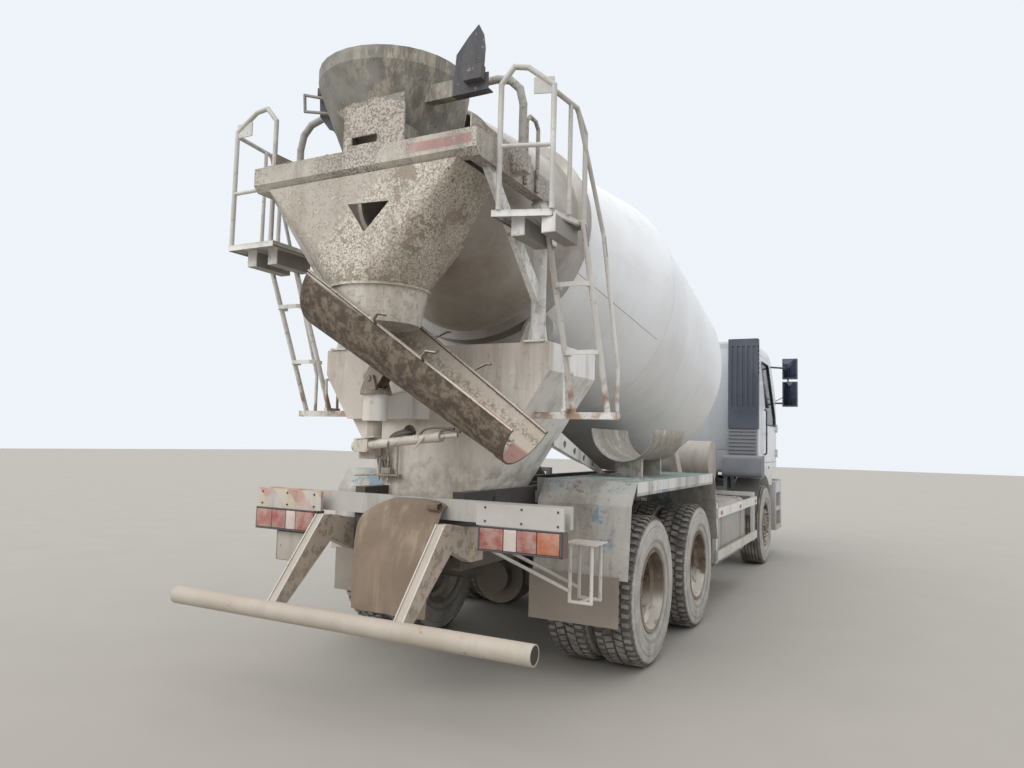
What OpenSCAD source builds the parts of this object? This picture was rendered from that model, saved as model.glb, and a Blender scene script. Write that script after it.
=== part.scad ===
// Concrete mixer truck, 6x4, forward-control cab, rear-discharge drum.
// Millimetres. +Y is forward, +X is the truck's right-hand side, +Z is up.
// Lengths along the truck are measured from the rearmost axle; centred() then moves
// everything so that the origin is the middle of the footprint, on the ground.

/* [Wheels and axles] */
// Outer diameter of a tyre
tyre_d = 1076; // [1000:2:1130]
// Width of a tyre
tyre_w = 312; // [280:2:330]
// Diameter of a rim over its flanges
rim_d = 598; // [560:2:620]
// Distance between the centres of twin tyres
twin_gap = 350; // [335:1:370]
// Distance between the two driven axles
bogie_gap = 1380; // [1300:10:1450]
// Distance from the front axle to the first driven axle
wheelbase = 4200; // [3900:20:4500]
// Distance between the centres of the front tyres
front_track = 2040; // [2000:5:2080]
// Width over the outer rear tyres
rear_width = 2480; // [2450:5:2550]

/* [Chassis] */
// Width over the frame rails
rail_span = 850; // [800:5:900]
// Height of a frame rail
rail_h = 280; // [240:5:320]
// Height of the rails' top above the ground
rail_top = 1070; // [1050:5:1100]
// Width of a rail's flanges
rail_flange = 80; // [60:2:90]
// Thickness of the rails' steel
rail_t = 8; // [6:1:12]
// Height of the mixer's subframe
sub_h = 200; // [160:5:220]
// Distance from the rearmost axle back to the end of the rails
rear_overhang = 1400; // [1300:10:1500]
// Distance from the front axle forward to the bumper's face
front_overhang = 1440; // [1400:10:1500]

/* [Cab] */
// Width of the cab
cab_w = 2290; // [2200:10:2400]
// Height of the cab's roof above the ground
cab_top = 3100; // [3000:10:3200]
// Length of the cab
cab_len = 1850; // [1750:10:1900]
// Thickness of the cab's walls
cab_wall = 45; // [30:1:60]

/* [Drum] */
// Largest radius of the drum
drum_r = 1150; // [1100:5:1180]
// Radius of the drum's mouth
drum_mouth_r = 540; // [500:5:560]
// Slope of the drum's axis in degrees
drum_slope = 13; // [11:0.5:14]
// Thickness of the drum's steel
drum_t = 8; // [6:1:12]
// Height of the ring's centre above the ground
ring_z = 3160; // [3130:5:3200]
// Radius of the roller ring
ring_r = 850; // [840:5:870]

/* [Discharge] */
// Radius of the charging hopper's rim
bowl_r = 475; // [440:5:500]
// Height of the charging hopper's rim above the ground
bowl_top = 3865; // [3800:5:3900]
// Width of the beam across the hopper frame
beam_w = 1650; // [1600:10:1700]
// Length of the discharge chute along its floor
chute_len = 1620; // [1500:10:1700]
// Slope of the parked chute in degrees
chute_slope = 35; // [32:1:37]
// Thickness of the chute's steel
chute_t = 5; // [4:1:8]

/* [Hidden] */

$fn = 48;
fine = 96;
seat = 0.3;         // running gap between pieces that touch on the real truck
run = 0.05;         // radial gap of a bearing

// Places along the truck, from the rearmost axle
axle_z = tyre_d / 2;
mid_axle_y = bogie_gap;
front_axle_y = bogie_gap + wheelbase;
front_y = front_axle_y + front_overhang;
bar_y = -2090;
bar_r = 54;
bar_z = 570;
bar_len = 2520;
bowl_y = -1695;
rear_y = min(bar_y - bar_r, bowl_y - bowl_r);
y_mid = (front_y + rear_y) / 2;

rail_bottom = rail_top - rail_h;
rail_x = rail_span / 2;
sub_top = rail_top + sub_h;

steel = [0.62, 0.6, 0.56];
pale = [0.78, 0.77, 0.73];
white = [0.9, 0.9, 0.9];
dark = [0.16, 0.17, 0.18];
rubber = [0.1, 0.1, 0.1];
mud = [0.5, 0.45, 0.38];

// Moves the truck so that the origin is at the middle of its footprint
module centred() translate([0, -y_mid, 0]) children();

// A shape and its mirror image across its own middle, in Y
module both_sides_y() {
    children();
    mirror([0, 1, 0]) children();
}

// A shape and its mirror image across the truck's centre plane
module both_sides() {
    children();
    mirror([1, 0, 0]) children();
}

// Extrudes a (Y, Z) outline across the truck, between x0 and x1
module across(x0, x1) translate([x0, 0, 0]) rotate([90, 0, 90]) linear_extrude(x1 - x0) children();

// Extrudes an (X, Z) outline along the truck, between y0 and y1
module lengthways(y0, y1) translate([0, y1, 0]) rotate([90, 0, 0]) linear_extrude(y1 - y0) children();

// A box given by its lowest and highest corners
module block(a, b) translate(a) cube(b - a);

// A round bar from p to q
module rod(p, q, r) {
    d = q - p;
    translate(p) rotate([0, acos(d.z / norm(d)), atan2(d.y, d.x)]) cylinder(h = norm(d), r = r, $fn = 24);
}

// A tube that runs through points, with round corners
module tube(pts, r) {
    for (i = [0:len(pts) - 2]) rod(pts[i], pts[i + 1], r);
    for (i = [1:len(pts) - 2]) translate(pts[i]) sphere(r * 1.03, $fn = 24);
}

// Unit vector
function unit(v) = v / norm(v);

// Points of a rounded corner at p1, between p0 and p2
function corner(p0, p1, p2, r, n = 5) = r <= 0 ? [p1] :
    let (u = unit(p0 - p1), v = unit(p2 - p1), half = acos(u * v) / 2,
        c = p1 + unit(u + v) * r / sin(half),
        s = p1 + u * r / tan(half), e = p1 + v * r / tan(half),
        a0 = atan2(s.y - c.y, s.x - c.x), turn = atan2(e.y - c.y, e.x - c.x) - a0,
        da = turn > 180 ? turn - 360 : turn < -180 ? turn + 360 : turn)
    [for (i = [0:n]) c + r * [cos(a0 + da * i / n), sin(a0 + da * i / n)]];

// An outline from rows of [x, y, corner radius]
function rounded(rows, n = 5) = let (m = len(rows)) [for (i = [0:m - 1])
    let (a = rows[(i + m - 1) % m], b = rows[i], c = rows[(i + 1) % m])
    each corner([a.x, a.y], [b.x, b.y], [c.x, c.y], len(b) > 2 ? b[2] : 0, n)];

// A rectangle with round corners, between two corners
module rounded_rect(a, b, r) polygon(rounded([[a.x, a.y, r], [b.x, a.y, r], [b.x, b.y, r], [a.x, b.y, r]]));

// Outline rows [x, y, r] moved inwards by d; the rows run anticlockwise
function inset(rows, d) = let (m = len(rows)) [for (i = [0:m - 1])
    let (a = rows[(i + m - 1) % m], b = rows[i], c = rows[(i + 1) % m],
        u = unit([b.x - a.x, b.y - a.y]), v = unit([c.x - b.x, c.y - b.y]),
        n1 = [-u.y, u.x], n2 = [-v.y, v.x], move = d * (n1 + n2) / (1 + n1 * n2))
    [b.x + move.x, b.y + move.y, max(b[2] - d, 0)]];

// A strip of thickness t to the left of a bent line
function strip(pts, t) = let (m = len(pts), offs = [for (i = [0:m - 1])
    let (u = i > 0 ? unit(pts[i] - pts[i - 1]) : unit(pts[1] - pts[0]),
        v = i < m - 1 ? unit(pts[i + 1] - pts[i]) : u,
        n1 = [-u.y, u.x], n2 = [-v.y, v.x])
    pts[i] + t * (n1 + n2) / (1 + n1 * n2)])
    concat(pts, [for (i = [m - 1:-1:0]) offs[i]]);

// Chassis

front_rail_y = front_y - 90;
rear_rail_y = -rear_overhang;
cross_ys = [rear_rail_y + 40, -700, 690, 2150, 3500, 4600];
cab_back = front_y - 40 - cab_len;
hinge_y = front_y - 140;
hinge_z = rail_top + 50;
hinge_r = 30;
hinge_x = 470;
cab_floor = rail_top + 180;

module frame_rails() color(dark) {
    both_sides() {
        block([rail_x - rail_t, rear_rail_y, rail_bottom], [rail_x, front_rail_y, rail_top]);
        for (z = [rail_bottom, rail_top - rail_t])
            block([rail_x - rail_flange, rear_rail_y, z], [rail_x, front_rail_y, z + rail_t]);
        // Brackets of the cab's tilt pin
        translate([0, 0, 0]) across(rail_x - 40, rail_x)
            polygon([[hinge_y - 90, rail_top], [hinge_y + 60, rail_top], [hinge_y + 40, hinge_z + 30],
                [hinge_y - 40, hinge_z + 30]]);
        // Posts that carry the back of the cab
        block([rail_x - 60, cab_back + 40, rail_top], [rail_x, cab_back + 140, cab_floor - seat]);
    }
    for (y = cross_ys)
        block([-rail_x + rail_t, y - 40, rail_top - 120], [rail_x - rail_t, y + 40, rail_top - rail_t]);
    // Tilt pin of the cab
    translate([-hinge_x - 40, hinge_y, hinge_z]) rotate([0, 90, 0]) cylinder(h = 2 * hinge_x + 80, r = hinge_r);
}

sub_front = 4550;
sub_w = 80;
module subframe() color(pale) {
    both_sides() {
        across(rail_x - sub_w, rail_x)
            polygon([[rear_rail_y, rail_top], [sub_front, rail_top], [sub_front, rail_top + 40],
                [sub_front - 350, sub_top], [rear_rail_y, sub_top]]);
        // Fishplates bolted to the rails
        for (y = [-900, 200, 1150, 2450, 3300, 4100])
            block([rail_x, y - 110, rail_top - 120], [rail_x + 10, y + 110, sub_top - 40]);
    }
    for (y = [-300, 900, 2400, 3700])
        block([-rail_x + sub_w, y - 40, rail_top + 40], [rail_x - sub_w, y + 40, sub_top - 40]);
}

lamp_lo = [cab_w / 2 - 420, 720];
lamp_hi = [cab_w / 2 - 90, 900];
module head_lamps() color("white") both_sides() lengthways(front_y - 36, front_y - 6)
    rounded_rect(lamp_lo + [seat, seat], lamp_hi - [seat, seat], 40);

tow_z = 560;
tow_r = 20.5;
module front_bumper() color(pale) {
    y0 = front_rail_y;
    difference() {
        bumper_beam(y0);
        block([-90, front_y - 80, 400], [90, front_y + 1, tow_z + 150]);
        both_sides() lengthways(front_y - 36, front_y + 1) rounded_rect(lamp_lo, lamp_hi, 40);
        for (z = [870:70:1010]) block([-430, front_y - 12, z], [430, front_y + 1, z + 36]);
    }
    // Towing lug
    difference() {
        block([-60, front_y - 81, tow_z], [60, front_y - 4, tow_z + 60]);
        translate([0, front_y - 42, tow_z - 1]) cylinder(h = 62, r = tow_r);
    }
    block([-rail_x + 200, y0, tow_z - 60], [rail_x - 200, y0 + 9, tow_z + 150]);
    both_sides() {
        block([rail_x - 200, y0, 600], [rail_x, y0 + 41, rail_top - 120]);
        // Entrance steps behind the bumper
        difference() {
            block([cab_w / 2 - 230, y0 - 560, 380], [cab_w / 2 + 40, y0 + 50, 1090]);
            for (z = [450, 720])
                block([cab_w / 2 - 130, y0 - 500, z], [cab_w / 2 + 50, y0 - 60, z + 210]);
        }
        block([rail_x, y0 - 300, 880], [cab_w / 2 - 230, y0 - 200, 960]);
    }
}

// Bumper with round corners, hollow at the back
module bumper_beam(y0) {
    translate([0, 0, 430]) linear_extrude(690) difference() {
        rounded_rect([-cab_w / 2 - 40, y0], [cab_w / 2 + 40, front_y], 42);
        block2([-cab_w / 2 + 60, y0 - 10], [cab_w / 2 - 60, y0 + 40]);
    }
}

module block2(a, b) translate(a) square(b - a);

module engine() color(dark) {
    block([-330, 5150, 760], [330, 6400, 1480]);
    for (y = [5300, 6200]) block([-rail_x + rail_t, y - 50, 820], [rail_x - rail_t, y + 50, 900]);
}

shaft_z = 850;
pinion_y = 190;
module driveline() color(dark) {
    // Gearbox behind the engine
    translate([0, 5150, shaft_z + 30]) rotate([90, 0, 0]) cylinder(h = 380, r1 = 230, r2 = 180);
    // Propeller shafts with their flanges
    rod([0, 4770, shaft_z], [0, mid_axle_y + pinion_y + 30, axle_z + 10], 50);
    block([-45, mid_axle_y + pinion_y + seat, axle_z - 45], [45, mid_axle_y + pinion_y + 50, axle_z + 65]);
    block([-60, 4700, shaft_z - 60], [60, 4775, shaft_z + 60]);
    rod([0, mid_axle_y - pinion_y - seat, axle_z], [0, pinion_y + seat, axle_z], 45);
}

spring_x = rail_x - 40;
spring_w = 90;
leaf_t = 16;
// Outline of a pack of leaves, [along, up]: the main leaf's ends lie rise above its middle
// (below it, if negative), and each further leaf is shorter
function leaf_at(y, half, rise, depth) = [y, rise * pow(y / half, 2) + depth];
function leaf_pack(half, rise, leaves) = let (reach = [for (i = [0:leaves - 1]) half * (1 - 0.16 * i)],
    t = (rise > 0 ? -1 : 1) * leaf_t, n = leaves - 1) concat(
    [for (i = [0:n]) leaf_at(-reach[i], half, rise, 0)], [[0, 0]],
    [for (i = [n:-1:0]) leaf_at(reach[i], half, rise, 0)],
    [leaf_at(reach[0], half, rise, t)],
    [for (i = [1:n]) each [leaf_at(reach[i], half, rise, i * t), leaf_at(reach[i], half, rise, (i + 1) * t)]],
    [[0, leaves * t]],
    [for (i = [n:-1:1]) each [leaf_at(-reach[i], half, rise, (i + 1) * t), leaf_at(-reach[i], half, rise, i * t)]],
    [leaf_at(-reach[0], half, rise, t)]);
module leaf_spring(yc, half, z_mid, rise, leaves = 5)
    across(spring_x - spring_w / 2, spring_x + spring_w / 2)
        translate([yc, z_mid]) polygon(leaf_pack(half, rise, leaves));

pin_x = front_track / 2 - 150;
pin_r = 24;
fist_h = 90;
stub_r = 45;
front_leaves = 5;
front_spring_rise = 90;
beam_top = axle_z - 30;
module front_axle() color(dark) {
    // Dropped beam with fists round the kingpins
    difference() {
        union() {
            lengthways(front_axle_y - 45, front_axle_y + 45)
                polygon([[-pin_x, axle_z - 45], [-pin_x + 150, axle_z - 45], [-pin_x + 330, axle_z - 130],
                    [pin_x - 330, axle_z - 130], [pin_x - 150, axle_z - 45], [pin_x, axle_z - 45],
                    [pin_x, axle_z + 45], [pin_x - 180, axle_z + 45], [pin_x - 360, beam_top],
                    [-pin_x + 360, beam_top], [-pin_x + 180, axle_z + 45], [-pin_x, axle_z + 45]]);
            for (s = [-1, 1]) translate([s * pin_x, front_axle_y, axle_z - fist_h / 2])
                cylinder(h = fist_h, r = 52);
        }
        for (s = [-1, 1]) translate([s * pin_x, front_axle_y, 0]) cylinder(h = 2000, r = pin_r + run);
    }
    both_sides() {
        leaf_spring(front_axle_y, 860, beam_top + front_leaves * leaf_t, front_spring_rise, front_leaves);
        for (y = [front_axle_y - 830, front_axle_y + 830])
            block([spring_x - 45, y - 45, beam_top + 150], [spring_x + 45, y + 45, rail_bottom]);
        // Clamps over the spring
        for (y = [-95, 65])
            block([spring_x - 59, front_axle_y + y, beam_top - 110], [spring_x + 59, front_axle_y + y + 30, beam_top + 106]);
    }
}

spindle_r = 55;
twin_out_x = rear_width / 2 - tyre_w / 2;
twin_in_x = twin_out_x - twin_gap;
twin_mid_x = (twin_out_x + twin_in_x) / 2;
saddle_z = axle_z + 92;
module rear_axles() color(dark) {
    for (y = [0, mid_axle_y]) {
        translate([0, y, axle_z]) {
            rotate([0, 90, 0]) {
                cylinder(h = 2 * (twin_mid_x - 200), r = 75, center = true);
                cylinder(h = 2 * twin_out_x, r = spindle_r, center = true);
            }
            // Banjo housing
            rotate([90, 0, 0]) cylinder(h = 230, r = 215, center = true);
            rotate([90, 0, 0]) cylinder(h = 380, r = 120, center = true);
        }
        both_sides() block([spring_x - 60, y - 70, axle_z + 40], [spring_x + 60, y + 70, saddle_z]);
    }
    both_sides() {
        // Bogie springs, seated on the axles, and their trunnion brackets
        leaf_spring(mid_axle_y / 2, mid_axle_y / 2 + 40, saddle_z + 60 + seat, -60, 6);
        across(spring_x - 55, spring_x + 75)
            polygon([[mid_axle_y / 2 - 80, axle_z - 200], [mid_axle_y / 2 + 80, axle_z - 200],
                [mid_axle_y / 2 + 190, rail_bottom], [mid_axle_y / 2 - 190, rail_bottom]]);
    }
    translate([0, mid_axle_y / 2, axle_z - 150]) rotate([0, 90, 0]) cylinder(h = 2 * spring_x, r = 45, center = true);
}

hub_r = 185;
rim_r = rim_d / 2;
seat_r = 285.75;
rim_t = 12;

// Section of a tyre, [radius, x]
function tyre_section(r, w, bead) = let (h = r - bead)
    rounded([[bead, -w / 2 + 60], [bead, -w / 2 + 34], [bead + h * 0.45, -w / 2, 60],
        [r - 45, -w / 2 + 8, 40], [r, -w / 2 + 40, 20], [r, w / 2 - 40, 20], [r - 45, w / 2 - 8, 40],
        [bead + h * 0.45, w / 2, 60], [bead, w / 2 - 34], [bead, w / 2 - 60],
        [bead + h * 0.45, w / 2 - 26, 40], [r - 60, w / 2 - 34, 20],
        [r - 60, -w / 2 + 34, 20], [bead + h * 0.45, -w / 2 + 26, 40]], 3);

module tyre(x) color(rubber) translate([x, 0, 0]) rotate([0, 90, 0]) rotate_extrude($fn = fine)
    polygon(tyre_section(tyre_d / 2, tyre_w, seat_r + seat));

// A rim at x, whose disc lies at x + face and dips towards the hub
module rim(x, face, bore) translate([x, 0, 0]) rotate([0, 90, 0]) rotate_extrude($fn = fine) {
    w = tyre_w / 2 - 30;
    s = sign(face);
    polygon([[seat_r - rim_t, -w - 14], [rim_r, -w - 14], [rim_r, -w], [seat_r, -w], [seat_r - 8, -60],
        [seat_r - 40, -40], [seat_r - 40, 40], [seat_r - 8, 60], [seat_r, w], [rim_r, w], [rim_r, w + 14],
        [seat_r - rim_t, w + 14], [seat_r - rim_t - 8, 66], [seat_r - rim_t - 42, 46],
        [seat_r - rim_t - 42, -46], [seat_r - rim_t - 8, -66]]);
    polygon([[seat_r - 46, s * 30], [seat_r - 46, s * 44], [hub_r + 20, face], [bore, face], [bore, face - s * 14],
        [hub_r + 14, face - s * 14], [seat_r - 58, s * 30]]);
}

module twin_tyres() {
    tyre(twin_out_x);
    tyre(twin_in_x);
}

module twin_rims() color(mud) difference() {
    union() {
        rim(twin_out_x, -twin_gap / 2 + 0.5, 120);
        rim(twin_in_x, twin_gap / 2 - 0.5, 120);
        // Hub with the reduction gear's cover, and the brake drum
        translate([twin_mid_x - 190, 0, 0]) rotate([0, 90, 0]) rotate_extrude($fn = fine)
            polygon([[0, 60], [205, 60], [205, 176], [150, 178], [150, 260], [135, 300], [135, 345], [110, 372],
                [0, 378]]);
    }
    rotate([0, 90, 0]) cylinder(h = twin_out_x + seat, r = spindle_r + run);
}

module front_rim() color(mud) {
    x = front_track / 2;
    difference() {
        union() {
            rim(x, tyre_w / 2 - 20, 100);
            translate([x - 60, 0, 0]) rotate([0, 90, 0]) rotate_extrude($fn = fine)
                polygon([[0, 0], [150, 0], [150, 120], [170, 125], [170, 186], [110, 190], [95, 212], [0, 220]]);
        }
        translate([x - 200, 0, 0]) rotate([0, 90, 0]) cylinder(h = 340 + seat, r = stub_r + run);
    }
}

module knuckle() color(dark) translate([pin_x, front_axle_y, axle_z]) {
    // Fork above and below the axle's fist, kingpin, wheel spindle and steering arm
    for (z = [-1, 1]) translate([0, 0, z * (fist_h / 2 + 20 + seat)]) {
        cylinder(h = 40, r = 50, center = true);
        translate([42, 0, 0]) cube([84, 90, 40], center = true);
    }
    block([58, -60, -fist_h / 2 - 40], [84, 60, fist_h / 2 + 40]);
    cylinder(h = fist_h + 60, r = pin_r, center = true);
    translate([60, 0, 0]) rotate([0, 90, 0]) cylinder(h = 230, r = stub_r);
    block([-30, -235, -fist_h / 2 - 40], [20, -30, -fist_h / 2 - 10]);
}

tank_y0 = 2320;
tank_y1 = 3880;
tank_lo = [580, 370];
tank_hi = [1180, 1010];
module fuel_tank() color(steel) {
    lengthways(tank_y0, tank_y1) rounded_rect(tank_lo, tank_hi, 90);
    for (y = [tank_y0 + 250, tank_y1 - 250]) {
        lengthways(y - 30, y + 30) rounded_rect(tank_lo - [6, 6], tank_hi + [6, 6], 94);
        block([rail_x, y - 40, rail_bottom + 20], [tank_lo.x, y + 40, rail_top - 130]);
    }
    translate([880, tank_y1 - 400, 1000]) cylinder(h = 45, r = 50);
}

module battery_box() color(dark) {
    block([-1150, 3000, 560], [-560, 3800, 960]);
    block([-560, 3100, rail_bottom + 20], [-rail_x, 3700, rail_top - 130]);
    // Air reservoirs
    for (z = [560, 860]) translate([-820, 2900, z]) rotate([90, 0, 0]) cylinder(h = 800, r = 130);
    for (y = [2250, 2750]) block([-820, y - 20, 540], [-rail_x, y + 20, rail_top - 130]);
}

guard_y0 = 2180;
guard_y1 = 4450;
// Tube step behind the right wheels, on a hanger from the lamp board's beam
module rear_step() color(pale) {
    block([1010, -1185, 985], [1225, -985, 993]);
    for (y = [-1160, -1010]) {
        tube([[1050, y, 985], [1050, y, 640], [1190, y, 640], [1190, y, 985]], 11);
        rod([rail_x + 10, y - 30, 930], [1050, y, 700], 11);
    }
    rod([1120, -1160, 640], [1120, -1010, 640], 11);
    block([rail_x, -1220, 900], [rail_x + 10, -1010, 960]);
}

module side_guards() color(pale) both_sides() {
    for (z = [470, 890]) block([1205, guard_y0, z], [1230, guard_y1, z + 95]);
    for (y = [guard_y0 + 30, guard_y1 - 90]) {
        block([1165, y, 440], [1205, y + 60, 1010]);
        block([rail_x, y + 5, 990], [1165, y + 55, 1040]);
        block([1165, y + 5, 990], [1205, y + 55, 1040]);
    }
}

deck_z = 1340;
deck_x = 1250;
deck_t = 6;
guard_rear = -tyre_d / 2 - 60;
guard_front = mid_axle_y + tyre_d / 2 + 80;
module mudguards() color([0.55, 0.66, 0.66]) both_sides() {
    // Top with a lip, and the rear and front plates
    across(560, deck_x) polygon(strip([[guard_front + 60, 700], [guard_front, 900], [guard_front - 60, deck_z - 90],
        [guard_front - 160, deck_z - deck_t], [guard_rear + 110, deck_z - deck_t], [guard_rear, deck_z - 160],
        [guard_rear - 60, 700]], -deck_t));
    block([deck_x - 6, guard_rear + 120, deck_z - 95], [deck_x, guard_front - 170, deck_z - deck_t]);
    // Brackets from the subframe, under the top plate
    for (y = [guard_rear + 260, mid_axle_y / 2, guard_front - 180]) {
        block([rail_x, y - 30, sub_top - 120], [rail_x + 12, y + 30, sub_top - 30]);
        block([rail_x + 12, y - 25, sub_top - 90], [rail_x + 60, y + 25, deck_z - deck_t - 42]);
        block([rail_x + 12, y - 25, deck_z - deck_t - 42], [1185, y + 25, deck_z - deck_t]);
    }
}

module mudflaps() color(rubber) both_sides()
    block([540, guard_rear - 75, 390], [1190, guard_rear - 66 - seat, 720]);

ped_rear = -1200;
ped_front = -420;
ped_top = 2230;
ped_w = 900;          // half width under the drum, and at the foot
ped_foot = rail_x - 40;
ped_flare = 2050;
ped_step = 1730;      // below it the rear plate lies further forward
ped_step_y = ped_rear + 60;
roller_r = 125;
roller_w = 110;
roller_a = 35;
roller_pin = 35;
ring_y = -460;
slew_y = -1770;
post_z0 = 1700;
post_h = 160;
post_r = 45;
module on_drum_axis() translate([0, ring_y, ring_z]) rotate([-(90 + drum_slope), 0, 0]) children();
function roller_at(s) = (ring_r + roller_r + seat) * [s * sin(roller_a), cos(roller_a), 0];

ped_rows = [[-ped_foot, sub_top], [ped_foot, sub_top], [ped_w, ped_flare], [ped_w, ped_top], [-ped_w, ped_top],
    [-ped_w, ped_flare]];
ped_inner = [[-ped_foot + 20, sub_top - 1], [ped_foot - 20, sub_top - 1], [ped_w - 25, ped_flare],
    [ped_w - 25, ped_top - 20], [-ped_w + 25, ped_top - 20], [-ped_w + 25, ped_flare]];
brace_foot = 560;
brace_join = 327.6;    // above the foot, where the brace meets the sloping side
brace_x = ped_foot + (ped_w - ped_foot) * brace_join / (ped_flare - sub_top) - 2;
module rear_pedestal() color(pale) {
    difference() {
        lengthways(ped_rear, ped_front) polygon(ped_rows);
        // Open at the front, with a shelf at the step
        lengthways(ped_rear + 12, ped_front + 1) intersection() {
            polygon(ped_inner);
            block2([-1000, ped_step + 12], [1000, 3000]);
        }
        lengthways(ped_step_y + 12, ped_front + 1) intersection() {
            polygon(ped_inner);
            block2([-1000, 1000], [1000, ped_step]);
        }
        block([-1000, ped_rear - 1, 1000], [1000, ped_step_y, ped_step]);
        // Opening for the hoses
        translate([-186, ped_step_y - 1, 1640]) rotate([-90, 0, 0]) cylinder(h = 14, r = 55);
    }
    // Lip between the subframe's beams
    block([-rail_x + sub_w, ped_step_y, sub_top - 100], [rail_x - sub_w, ped_step_y + 12, sub_top]);
    both_sides() {
        block([ped_foot - 80, ped_front - 12, sub_top], [ped_foot, ped_front, ped_top - 100]);
        // Perforated brace down to the deck's frame
        difference() {
            across(brace_x, brace_x + 12)
                polygon([[ped_front - 40, 1715], [ped_front - 40, 1575], [brace_foot - 60, deck_z + 4], [brace_foot + 80, deck_z + 4]]);
            for (f = [0.16, 0.36, 0.56, 0.76])
                translate([0, ped_front + f * (brace_foot - ped_front), 1630 + f * (deck_z - 1610)]) rotate([0, 90, 0])
                    cylinder(h = 1000, r = 27);
        }
        block([brace_x - 30, brace_foot - 70, deck_z + 0.3], [brace_x + 100, brace_foot + 90, deck_z + 8]);
    }
    // Roller brackets and pins
    on_drum_axis() for (s = [-1, 1]) {
        for (z = [-1, 1]) translate([0, 0, z * (roller_w / 2 + 20) - 12]) linear_extrude(24)
            polygon([[s * 440, 962], [s * 500, 750], [s * 620, 750], [s * 680, 962]]);
        translate(roller_at(s)) cylinder(h = roller_w + 90, r = roller_pin, center = true);
    }
    // Arm and sleeve that carry the chute's post
    difference() {
        union() {
            translate([0, slew_y, post_z0]) cylinder(h = post_h, r = 75);
            across(-40, 40) polygon([[slew_y, post_z0 + 20], [ped_rear, ped_step + 2], [ped_rear, 1960],
                [slew_y, post_z0 + post_h - 20]]);
            block([-350, ped_rear - 40, ped_step + 2], [250, ped_rear, 1960]);
        }
        translate([0, slew_y, post_z0 - 1]) cylinder(h = post_h + 2, r = post_r + run);
    }
}

// Drum

mouth_s = -900;
cyl_s0 = 1270;
cyl_s1 = 3280;
front_s = 4000;
front_r = 750;
head_s = 4130;
nose_r = 120;
function cone_r(s) = drum_mouth_r + (s - mouth_s) * (drum_r - drum_mouth_r) / (cyl_s0 - mouth_s);

// Line of the drum's skin, [radius, distance ahead of the ring]
drum_line = let (p = [[drum_mouth_r, mouth_s], [drum_r, cyl_s0], [drum_r, cyl_s1], [front_r, front_s], [200, head_s]])
    concat([p[0]], corner(p[0], p[1], p[2], 300, 3), corner(p[1], p[2], p[3], 260, 3),
        corner(p[2], p[3], p[4], 120, 3), [p[4]]);

module drum_shell() color(white) on_drum_axis() difference() {
    rotate_extrude($fn = fine) {
        polygon(strip(drum_line, drum_t));
        // Lip of the mouth and boss of the drive
        polygon([[drum_mouth_r - 22, mouth_s - 10], [drum_mouth_r + 6, mouth_s - 10], [drum_mouth_r + 6, mouth_s + 18],
            [drum_mouth_r - 22, mouth_s + 18]]);
        polygon([[nose_r - 40, head_s - 40], [260, head_s - 40], [260, head_s + 50], [nose_r - 40, head_s + 50]]);
    }
    translate([0, 0, head_s - 60]) cylinder(h = 200, r = nose_r + run);
}

ring_w = 96;
module drum_ring() color(steel) on_drum_axis() rotate_extrude($fn = fine)
    polygon([[cone_r(-ring_w / 2) + seat, -ring_w / 2], [ring_r, -ring_w / 2], [ring_r, ring_w / 2],
        [cone_r(ring_w / 2) + seat, ring_w / 2]]);

module drum_roller(s) color(steel) on_drum_axis() translate(roller_at(s)) rotate_extrude($fn = fine)
    polygon([[roller_pin + run, -roller_w / 2], [70, -roller_w / 2], [70, -roller_w / 2 + 12],
        [roller_r, -roller_w / 2 + 12], [roller_r, roller_w / 2 - 12], [70, roller_w / 2 - 12], [70, roller_w / 2],
        [roller_pin + run, roller_w / 2]]);

drive_y = ring_y + (head_s + 220) * cos(drum_slope);
drive_z = ring_z - (head_s + 220) * sin(drum_slope);
module drum_drive() color(steel) {
    on_drum_axis() translate([0, 0, head_s]) rotate_extrude($fn = fine)
        polygon([[0, -40], [nose_r, -40], [nose_r, 52], [250, 52], [250, 130], [215, 150], [215, 300], [160, 330],
            [160, 420], [90, 440], [90, 560], [0, 560]]);
    // Pedestal in front of the drum
    lengthways(drive_y - 90, drive_y + 90)
        polygon([[-rail_x, sub_top], [-rail_x + sub_w, sub_top], [-180, drive_z - 190], [180, drive_z - 190],
            [rail_x - sub_w, sub_top], [rail_x, sub_top], [240, drive_z - 20], [-240, drive_z - 20]]);
}

// Discharge end

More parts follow.
